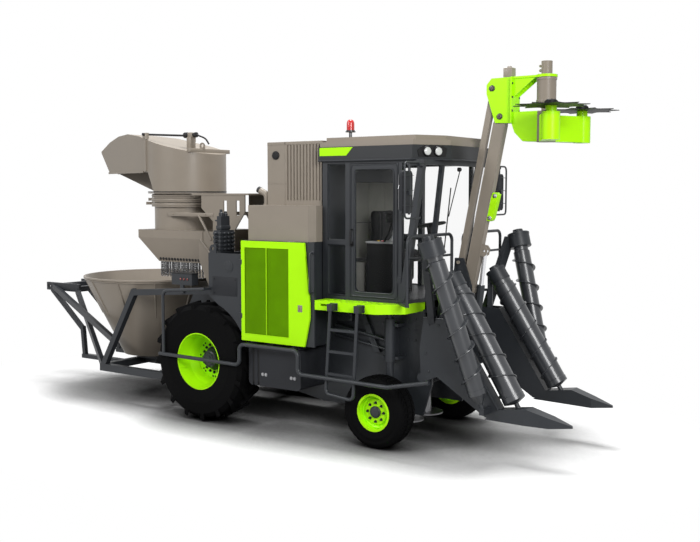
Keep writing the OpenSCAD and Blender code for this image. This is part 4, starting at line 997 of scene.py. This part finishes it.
@piece("beige_paint", both=True)
def neck_bars(bm):
    """Box beam from the neck to the stand, the stand's corner plate and two struts."""
    box(bm, (-1.16, NECK_FACE, 2.575), (-0.33, -0.44, 2.625), 0.004)
    corner = ((-0.545, 2.69), (-0.545, 2.862), (-0.335, 2.862), (-0.335, 2.51))
    prism(bm, corner, (0.0, -0.474, 0.0), FORE, UP, 0.015)
    tube(bm, [(-0.6, -0.49, 2.6), (-0.367, -0.49, 2.267)], 0.018, 12)
    tube(bm, [(-0.567, -0.492, 2.268), (-0.388, -0.492, 2.093)], 0.018, 12)
    bolts(bm, [(x, NECK_FACE, 2.6) for x in (-1.06, -0.46)], RIGHT, 0.01, 0.009)


@piece("beige_paint", both=True)
def ring_catches(bm):
    """Catches on the ring's rear side."""
    thick, outline = 0.024, rectangle(-0.05, 0.05, -0.02, 0.02)
    for angle, z in ((205.0, 2.8), (215.0, 2.745)):
        a = radians(angle)
        out = Vector((cos(a), sin(a), 0.0))
        at = EXTRACTOR + out * CATCH_R + UP * z
        prism(bm, outline, at - UP.cross(out) * (thick / 2), out, UP, thick, 0.003)


def hood_wall(local_x, z):
    """Place on the right face of the hood's nose, with the directions along that face and out of it."""
    tangent = acos(HOOD_R / NOSE_REACH)
    near = Vector((-cos(tangent), -sin(tangent), 0.0)) * HOOD_R
    nose = FORE * -NOSE_REACH
    along = (nose - near).normalized()
    across = Vector((-along.y, along.x, 0.0))
    k = (local_x - near.x) / (nose.x - near.x)
    return EXTRACTOR + UP * z + near + (nose - near) * k, along, across


@piece("beige_paint", body=HOOD, both=True)
def hood_ribs(bm):
    """Upright rib, its cap and the strip along the foot of the nose."""
    ribs = (
        (-0.343, 3.195, rectangle(-0.032, 0.032, 0.0, 0.47), 0.002, 0.02, 0.003),
        (-0.343, 3.64, rectangle(-0.045, 0.045, 0.0, 0.085), 0.03, 0.055, 0.004),
        (-0.95, 3.172, rectangle(-0.62, 0.56, 0.0, 0.028), 0.002, 0.014, 0.002),
    )
    for local_x, z, outline, sink, depth, bevel in ribs:
        base, along, across = hood_wall(local_x, z)
        prism(bm, outline, base - across * sink, -along, UP, depth, bevel)


def hood_top(local_x):
    """Height of the hood's sloping roof."""
    rear, length, fall = -0.56, 1.12, 0.27
    return 3.69 - (local_x - rear) / length * fall


@piece("beige_paint", body=HOOD)
def hood_bar(bm):
    """Cross bar on the hood's roof with its lifting eye, and the motor's stand."""
    roof = hood_top(0.42)
    box(bm, (-0.885, -0.4, roof - 0.01), (-0.825, 0.4, roof + 0.045), 0.004)
    lifting_eye(bm, (-0.855, -0.13, roof + 0.04), 0.045, 0.026)
    box(bm, (-1.04, -0.25, hood_top(0.25) - 0.02), (-0.96, -0.15, 3.66), 0.006)
    box(bm, (-1.03, -0.245, 3.65), (-0.95, -0.155, 3.722), 0.01, 3)


@piece("engine_black", body=HOOD)
def hood_motor(bm):
    y, z = -0.2, 3.688
    drum = ((0.0, 0.0), (0.036, 0.002), (0.04, 0.01), (0.04, 0.06), (0.028, 0.066), (0.028, 0.098))
    flange = ((0.03, 0.0), (0.03, 0.03), (0.036, 0.034), (0.036, 0.06), (0.0, 0.062))
    lathe(bm, (-1.125, y, z), FORE, drum, 28)
    lathe(bm, (-0.952, y, z), FORE, flange, 28)
    start, _, _ = hood_wall(-0.343, 3.704)
    tube(bm, [start, (-1.12, y, 3.684)], 0.014, 12)
    tube(bm, [(-0.9, y, 3.69), (-0.8, -0.12, 3.64), (-0.76, -0.1, 3.56)], 0.012, 10, 0.05)
    lathe(bm, start + RIGHT * 0.02, RIGHT, ((0.02, 0.0), (0.02, 0.03), (0.0, 0.032)), 16)


@piece("black_plastic", body=HOOD)
def hood_skirt(bm):
    band(bm, EXTRACTOR, UP, HOOD_R - 0.0005, HOOD_R + 0.0045, 2.898, 2.912, 96)


# Chains round the funnel
LINK_PITCH, LINK_COUNT = 0.03, 7
LINK_HALF, LINK_BEND, LINK_WIRE = 0.01, 0.0125, 0.0055
CHAIN_TOP = 1.945
SLOPE_REAR, SLOPE_SIDE = 1.015, 0.212


def chain_link(bm, at, lengthwise):
    """Stadium-shaped link of round wire."""
    side = FORE if lengthwise else -RIGHT
    path = []
    for centre, first in ((LINK_HALF, 0.0), (-LINK_HALF, pi)):
        for i in range(6):
            a = first + pi * i / 5
            path.append(at + side * (LINK_BEND * cos(a)) + UP * (centre + LINK_BEND * sin(a)))
    tube(bm, path, LINK_WIRE, 6, closed=True)


def chain_feet():
    """Top of each chain, the way out and the funnel's slope there: a row at the rear and one on each side."""
    for i in range(17):
        yield Vector((-1.41, -0.36 + 0.045 * i, CHAIN_TOP)), -FORE, SLOPE_REAR
    for i in range(15):
        for out in (RIGHT, -RIGHT):
            yield Vector((-1.38 + 0.78 * i / 14, 0.0, CHAIN_TOP)) + out * 0.42, out, SLOPE_SIDE


@piece("bare_steel", CHAIN, replaces="chain_curtain")
def chains(bm):
    for foot, _, _ in chain_feet():
        for k in range(LINK_COUNT):
            chain_link(bm, foot - UP * (0.008 + LINK_PITCH * k), k % 2 == 0)


@piece("engine_black")
def chain_bolts(bm):
    """Bolts and straps that hold the chains to the funnel's sloping sheet."""
    rise = 0.035
    for foot, out, slope in chain_feet():
        face = foot + out * (0.012 + rise * slope) + UP * rise
        normal = (out - UP * slope).normalized()
        knob(bm, face - normal * 0.004, normal, 0.019, 0.01, 0.013, 0.016, 14)
        tube(bm, [face + normal * 0.006, foot - UP * 0.004], LINK_WIRE, 6)


# Receiving bowl
BOWL = Vector((-1.93, 0.0, 0.0))
BOWL_FOOT_R, BOWL_FLARE, BOWL_FOOT_Z, BOWL_HEIGHT = 0.48, 0.54, 0.56, 1.116


@piece("beige_paint")
def bowl_ribs(bm):
    """Welded stiffeners down the cone, and a rolled edge under the rim."""
    for i in range(12):
        a = radians(15 + 30 * i)
        out = Vector((cos(a), sin(a), 0.0))
        path = []
        for z in (1.672, 1.15):
            r = BOWL_FOOT_R + BOWL_FLARE * (z - BOWL_FOOT_Z) / BOWL_HEIGHT + 0.004
            path.append(BOWL + UP * z + out * r)
        tube(bm, path, 0.011, 8)
    lathe_ring(bm, BOWL, UP, ((1.016, 1.65), (1.024, 1.655), (1.024, 1.668), (1.016, 1.674)), 96)


# Rear lamps and valves
SIDE_LAMPS = [Vector((x, -0.979, 1.778)) for x in (-0.46, -0.4, -0.34)]
TAIL_LAMP = Vector((-0.623, -0.92, 1.775))


@piece("beacon_red", LAMP_RED, both=True)
def tail_lenses(bm):
    """Red lenses on the side and rear of each lamp box."""
    for at in SIDE_LAMPS:
        knob(bm, at, RIGHT, 0.015, 0.006, 0.01, 0.01, 18)
    knob(bm, TAIL_LAMP, -FORE, 0.044, 0.01, 0.034, 0.018, 28, crown=0.003)


@piece("black_plastic", both=True)
def tail_lamp_trims(bm):
    for at in SIDE_LAMPS:
        band(bm, at, RIGHT, 0.0155, 0.021, 0.0, 0.006, 18)
    band(bm, TAIL_LAMP, -FORE, 0.045, 0.054, 0.0, 0.01, 28)
    box(bm, (-0.63, -0.986, 1.845), (-0.257, -0.854, 1.856))


@piece("grey_paint", both=True)
def valve_slices(bm):
    """Valve slices, ports and spool caps."""
    rear, front, side, middle = 0.102, 0.228, -0.966, 0.165
    for i in range(5):
        z = 2.165 + 0.05 * i
        port_z = z + 0.017
        box(bm, (rear, side, z), (front, -0.694, z + 0.034), 0.004)
        for y in (-0.9, -0.83, -0.76):
            for x, out in ((front, FORE), (rear, -FORE)):
                knob(bm, (x, y, port_z), out, 0.015, 0.02, 0.011, 0.024, 14, sink=0.004)
        knob(bm, (middle, side, port_z), RIGHT, 0.02, 0.022, 0.014, 0.04, 16, sink=0.004, crown=0.002)
    box(bm, (0.12, -0.93, 2.43), (0.21, -0.75, 2.48), 0.006)
    for y, h in ((-0.88, 0.085), (-0.8, 0.06)):
        cap = ((0.03, 0.0), (0.03, h * 0.5), (0.02, h * 0.6), (0.02, h), (0.0, h + 0.002))
        lathe(bm, (middle, y, 2.598), UP, cap, 20)
    spool = ((0.02, 0.0), (0.02, 0.045), (0.012, 0.05), (0.012, 0.09), (0.0, 0.092))
    lathe(bm, (0.125, -0.84, 2.54), -FORE, spool, 18)


# Topper
BOOM, HEAD = "topper_boom", "topper_head"
BOOM_BASE, BOOM_LENGTH = Vector((3.228, 0.0, 1.773)), 2.011
BOOM_LEAN = radians(11.3)
BOOM_DIR = Vector((sin(BOOM_LEAN), 0.0, cos(BOOM_LEAN)))
BOOM_FRONT = Vector((cos(BOOM_LEAN), 0.0, -sin(BOOM_LEAN)))
BOOM_TOP = BOOM_BASE + BOOM_DIR * BOOM_LENGTH
LINK_SHIFT = Vector((-0.098, 0.0, 0.317))
HEAD_PIVOT_Y = 0.068
STRUT_HALF = 0.04


def on_boom(u, v, y):
    """Place on the boom: u along it, v to its front and y to the left."""
    return BOOM_BASE + BOOM_DIR * u + BOOM_FRONT * v - RIGHT * y


@piece("lime_paint", body=BOOM)
def boom_lock_strut(bm):
    """Lime lock strut that lies along the boom's front."""
    outline = (
        (0.072, 0.835), (0.06, 0.85), (0.064, 0.9), (0.074, 1.12), (0.084, 1.162), (0.12, 1.17),
        (0.155, 1.15), (0.152, 1.08), (0.142, 0.88), (0.13, 0.845), (0.104, 0.832),
    )
    prism(bm, outline, BOOM_BASE - RIGHT * STRUT_HALF, BOOM_FRONT, BOOM_DIR, 2 * STRUT_HALF, 0.004)


@piece("bare_steel", body=BOOM)
def boom_strut_pins(bm):
    for u, v in ((0.872, 0.105), (1.13, 0.12)):
        for y, out in ((-0.038, RIGHT), (0.038, -RIGHT)):
            knob(bm, on_boom(u, v, y), out, 0.024, 0.01, 0.016, 0.016, 20)


@piece("beige_paint", body=BOOM)
def boom_beads(bm):
    """Weld beads along the boom's corners."""
    for v in (-0.069, 0.069):
        for y in (-0.039, 0.039):
            tube(bm, [on_boom(0.12, v, y), on_boom(1.93, v, y)], 0.005, 6)


@piece("bare_steel", NUT_STEEL, HEAD)
def head_pivot_nuts(bm):
    """Nuts on the head's two pivots, and the bolts on its face."""
    for at in (BOOM_TOP, BOOM_TOP + LINK_SHIFT):
        for out in (RIGHT, -RIGHT):
            knob(bm, at + out * HEAD_PIVOT_Y, out, 0.034, 0.0, 0.028, 0.004, 24, sink=0.01)
            hex_bolt(bm, at + out * (HEAD_PIVOT_Y + 0.004), out, 0.018, 0.014)
    face = BOOM_TOP.x + 0.164
    bolts(bm, [(face, y, z) for z in (3.8, 3.95, 4.1) for y in (-0.09, 0.09)], FORE, 0.01, 0.009)


@piece("beige_paint", body=HEAD)
def spindle_fittings(bm):
    spindle = Vector((SPINDLE_X, 0.0, 0.0))
    for turn in (40.0, 140.0, 220.0, 320.0):
        bolts(bm, ring(spindle + UP * 4.175, FORE, -RIGHT, 0.088, 1, radians(turn)), UP, 0.01, 0.01)
    for z in (4.225, 4.275):
        knob(bm, (4.092, 0.0, z), -FORE, 0.016, 0.022, 0.011, 0.028, 16, sink=0.006)
    for z in (3.885, 4.12):
        band(bm, spindle, UP, 0.104, 0.112, z, z + 0.016, 48)


@piece("beige_paint", body=HEAD)
def head_block(bm):
    middle = BOOM_TOP.x + 0.085
    box(bm, (middle - 0.053, -0.051, 4.171), (middle + 0.053, 0.051, 4.2795), 0.006, 3)
    knob(bm, (middle, 0.0, 4.278), UP, 0.026, 0.016, 0.018, 0.022, 24)


@pair("disc_black", "topper_disc_{side}")
def disc_hub(bm):
    at = Vector((4.392, -0.43, 3.846))
    lathe(bm, at, UP, ((0.06, 0.0), (0.06, 0.01), (0.046, 0.018), (0.03, 0.02), (0.0, 0.021)), 32)
    bolts(bm, ring(at + UP * 0.012, FORE, -RIGHT, 0.045, 6), UP, 0.007, 0.009)


# Crop dividers
OUTER_SCROLL, INNER_SCROLL = "scroll_outer_{side}", "scroll_inner_{side}"
OUTER_TOP, OUTER_LOW = Vector((3.376, -1.075, 2.218)), Vector((3.796, -0.862, 0.75))
INNER_TOP, INNER_LOW = Vector((3.372, -0.545, 1.837)), Vector((4.1, -0.58, 0.665))
FLIGHT_HALF, FLIGHT_ROOT, FLIGHT_EDGE = 0.006, 0.01, 0.002
FLIGHT_MARGIN, STEPS_PER_TURN = 0.066, 44
DIVIDER_Y = -0.7


def scroll(bm, top, low, r, flight_r, turns, foot, tip):
    """Turned tube with a collar and a foot cone, and the helical flight round it.
    A negative count of turns winds the flight the other way."""
    down = (low - top).normalized()
    span = (low - top).length
    collar, lip = r - 0.012, r + 0.004
    profile = (
        (collar, 0.001), (collar, 0.048), (r, 0.056), (r, span - 0.062), (lip, span - 0.058),
        (lip, span - 0.004), (r, span), (tip, span + foot),
    )
    lathe(bm, top, down, profile, 56)
    u, v = cross_axes(down)
    root, edge = r - FLIGHT_ROOT, flight_r - FLIGHT_EDGE
    section = (
        (root, -FLIGHT_HALF), (edge, -FLIGHT_HALF), (flight_r, 0.0), (edge, FLIGHT_HALF), (root, FLIGHT_HALF)
    )
    steps = round(STEPS_PER_TURN * abs(turns))
    rings = []
    for i in range(steps + 1):
        a = 2 * pi * turns * i / steps
        out = u * cos(a) + v * sin(a)
        at = top + down * (FLIGHT_MARGIN + (span - 2 * FLIGHT_MARGIN) * i / steps)
        rings.append([at + out * k + down * h for k, h in section])
    loft(bm, rings, caps=True)


@pair("grey_paint", OUTER_SCROLL, SCROLL_PAINT, replaces=OUTER_SCROLL)
def scroll_tube_outer(bm):
    scroll(bm, OUTER_TOP, OUTER_LOW, 0.1, 0.134, 5.5, 0.11, 0.024)


@pair("grey_paint", INNER_SCROLL, SCROLL_PAINT, replaces=INNER_SCROLL)
def scroll_tube_inner(bm):
    scroll(bm, INNER_TOP, INNER_LOW, 0.122, 0.142, -5.0, 0.03, 0.026)


@pair("grey_paint", "divider_{side}")
def divider_bands(bm):
    """Rings, cap bolts and edge rolls of a divider."""
    for top, low, r, length in ((OUTER_TOP, OUTER_LOW, 0.132, 0.18), (INNER_TOP, INNER_LOW, 0.116, 0.16)):
        down = (low - top).normalized()
        head = top - down * length
        for at in (0.004, length - 0.024):
            band(bm, head + down * at, down, r - 0.002, r + 0.004, 0.0, 0.02, 40)
        bolts(bm, ring(head, *cross_axes(down), r * 0.74, 6), -down, 0.011, 0.01)
    edge = ((3.031, 1.505), (3.35, 1.505), (3.96, 0.573), (3.99, 0.47))
    tube(bm, [(x, DIVIDER_Y, z) for x, z in edge], 0.01, 8, 0.04)
    places = ((3.1, 1.43), (3.22, 1.43), (3.06, 1.1), (3.1, 0.9))
    bolts(bm, [(x, DIVIDER_Y, z) for x, z in places], RIGHT, 0.013, 0.01)


# Chassis fasteners
@piece("grey_paint", both=True)
def frame_bolts(bm):
    places = [(x, -0.49, z) for x in (2.7, 2.8, 2.9) for z in (1.2, 1.32, 1.44)]
    bolts(bm, places, RIGHT, 0.014, 0.012)


# Beacon
BEACON_FOOT = Vector((1.825, -0.4, 3.53))


@piece("beacon_red", BEACON, replaces="beacon")
def beacon_dome(bm):
    profile = (
        (0.019, 0.0), (0.019, 0.08), (0.06, 0.084), (0.062, 0.088), (0.062, 0.096), (0.052, 0.1),
        (0.052, 0.112), (0.047, 0.116), (0.047, 0.188), (0.044, 0.206), (0.036, 0.224), (0.02, 0.235),
        (0.0, 0.238),
    )
    lathe(bm, BEACON_FOOT, UP, profile, 36)
    for z in (0.135, 0.165):
        lathe_ring(bm, BEACON_FOOT, UP, ((0.046, z), (0.049, z + 0.003), (0.046, z + 0.006)))


# Fittings on the frame plate behind the ladder
PLATE_Y = -0.484


@piece("grey_paint", both=True)
def frame_beams(bm):
    """Slanting beam, cross tubes and a bracket between the tank and the front leg."""
    beam, bracket = 0.05, -0.56
    slant = ((1.98, 1.6), (2.06, 1.6), (2.34, 1.02), (2.26, 1.02))
    prism(bm, slant, (0.0, PLATE_Y, 0.0), FORE, UP, beam, 0.003)
    tube(bm, [(1.7, -0.53, 1.3), (2.44, -0.53, 1.17)], 0.022, 14)
    tube(bm, [(1.7, -0.52, 1.18), (2.44, -0.52, 1.06)], 0.016, 14)
    box(bm, (1.74, bracket, 1.36), (1.96, PLATE_Y, 1.47), 0.008)
    places = [(x, bracket, 1.415) for x in (1.78, 1.85, 1.92)]
    places += [(x, PLATE_Y - beam, z) for x, z in ((2.1, 1.45), (2.16, 1.34), (2.24, 1.16))]
    bolts(bm, places, RIGHT, 0.012, 0.011)


# Floor, lamps and sky
FLOOR_TONE, FLOOR_SEEN, FLOOR_ROUGH = 0.3, 0.95, 0.9
FLOOR_HALF, FLOOR_DROP = 60.0, 0.002
# Painted shade on the floor: reach, strength and samples of the ambient occlusion that darkens the floor's
# colour under and beside the machine
PAINTED_SHADE_REACH, PAINTED_SHADE_DEPTH, PAINTED_SHADE_SAMPLES = 1.4, 2.4, 8
SHADOW_LENGTH, SHADOW_WIDTH = 5.4, 3.6
SHADOW_KEPT, SHADOW_GONE = 0.72, 1.1
SKY_LIGHT, SKY_SEEN = 0.28, 1.0
LAMPS = (
    ("top_lamp", (0.3, 1.2, 12.5), (0.3, 0.0, 1.5), 1700.0, 4.5),
    ("front_lamp", (10.0, -6.5, 5.5), (1.0, -0.5, 1.2), 880.0, 4.0),
    ("right_lamp", (-4.0, -11.0, 8.0), (-0.5, 0.0, 1.8), 850.0, 4.0),
)


def seen_ray(tree):
    """1 for rays that show the background: from the camera, or by way of metal or glass."""
    path = tree.nodes.new("ShaderNodeLightPath").outputs
    seen = path["Is Camera Ray"]
    for kind in ("Is Glossy Ray", "Is Transmission Ray"):
        seen = add(tree, "Math", seen, path[kind], operation="MAXIMUM")
    return seen


def floor_material():
    """Pale floor that keeps the lamps' shadow near the machine and goes over to plain white farther out.
    Painted shade from an ambient occlusion mask also darkens the floor's colour under and beside the machine.
    """
    mat, tree, bsdf = new_material("floor_pale")
    seen = seen_ray(tree)
    tone = add(tree, "MapRange", seen, To_Min=FLOOR_TONE, To_Max=FLOOR_SEEN)
    # Painted shade: ambient occlusion, raised to a power, darkens the floor's colour where the machine stands
    # over it
    painted_occlusion = add(tree, "AmbientOcclusion", samples=PAINTED_SHADE_SAMPLES, Distance=PAINTED_SHADE_REACH, out="AO")
    depth = add(tree, "Math", painted_occlusion, PAINTED_SHADE_DEPTH, operation="POWER")
    painted_shade_colour = add(tree, "Math", depth, tone, operation="MULTIPLY")
    feed_named(tree, bsdf, Base_Color=painted_shade_colour, Roughness=FLOOR_ROUGH, Specular_IOR_Level=0.0)
    position = add(tree, "NewGeometry", out="Position")
    shrink = (1 / SHADOW_LENGTH, 1 / SHADOW_WIDTH, 0.0)
    flat = add(tree, "VectorMath", position, shrink, operation="MULTIPLY")
    length = add(tree, "VectorMath", flat, operation="LENGTH", out="Value")
    far = add(
        tree, "MapRange", length, interpolation_type="SMOOTHSTEP", From_Min=SHADOW_KEPT, From_Max=SHADOW_GONE
    )
    share = add(tree, "Math", far, seen, operation="MULTIPLY")
    mix = add(tree, "MixShader", share, bsdf.outputs[0], add(tree, "Emission"))
    feed_named(tree, tree.nodes["Material Output"], Surface=mix)
    return mat


def make_floor():
    bm = bmesh.new()
    bmesh.ops.create_grid(bm, x_segments=2, y_segments=2, size=FLOOR_HALF)
    mesh = bpy.data.meshes.new("floor")
    bm.to_mesh(mesh)
    bm.free()
    floor = add_object("floor", mesh)
    floor.location = (0.0, 0.0, -FLOOR_DROP)
    floor.data.materials.append(floor_material())


def make_lamp(name, where, target, power, size):
    data = bpy.data.lights.new(name, "AREA")
    data.energy = power
    data.size = size
    lamp = add_object(name, data)
    lamp.location = where
    lamp.rotation_mode = "QUATERNION"
    lamp.rotation_quaternion = (Vector(target) - Vector(where)).to_track_quat("-Z", "Y")


make_floor()
for lamp_values in LAMPS:
    make_lamp(*lamp_values)

world = bpy.data.worlds.new("studio_sky")
bpy.context.scene.world = world
world.use_nodes = True
sky = world.node_tree
strength = add(sky, "MapRange", seen_ray(sky), To_Min=SKY_LIGHT, To_Max=SKY_SEEN)
feed_named(sky, sky.nodes["Background"], Color=(1.0, 1.0, 1.0, 1.0), Strength=strength)
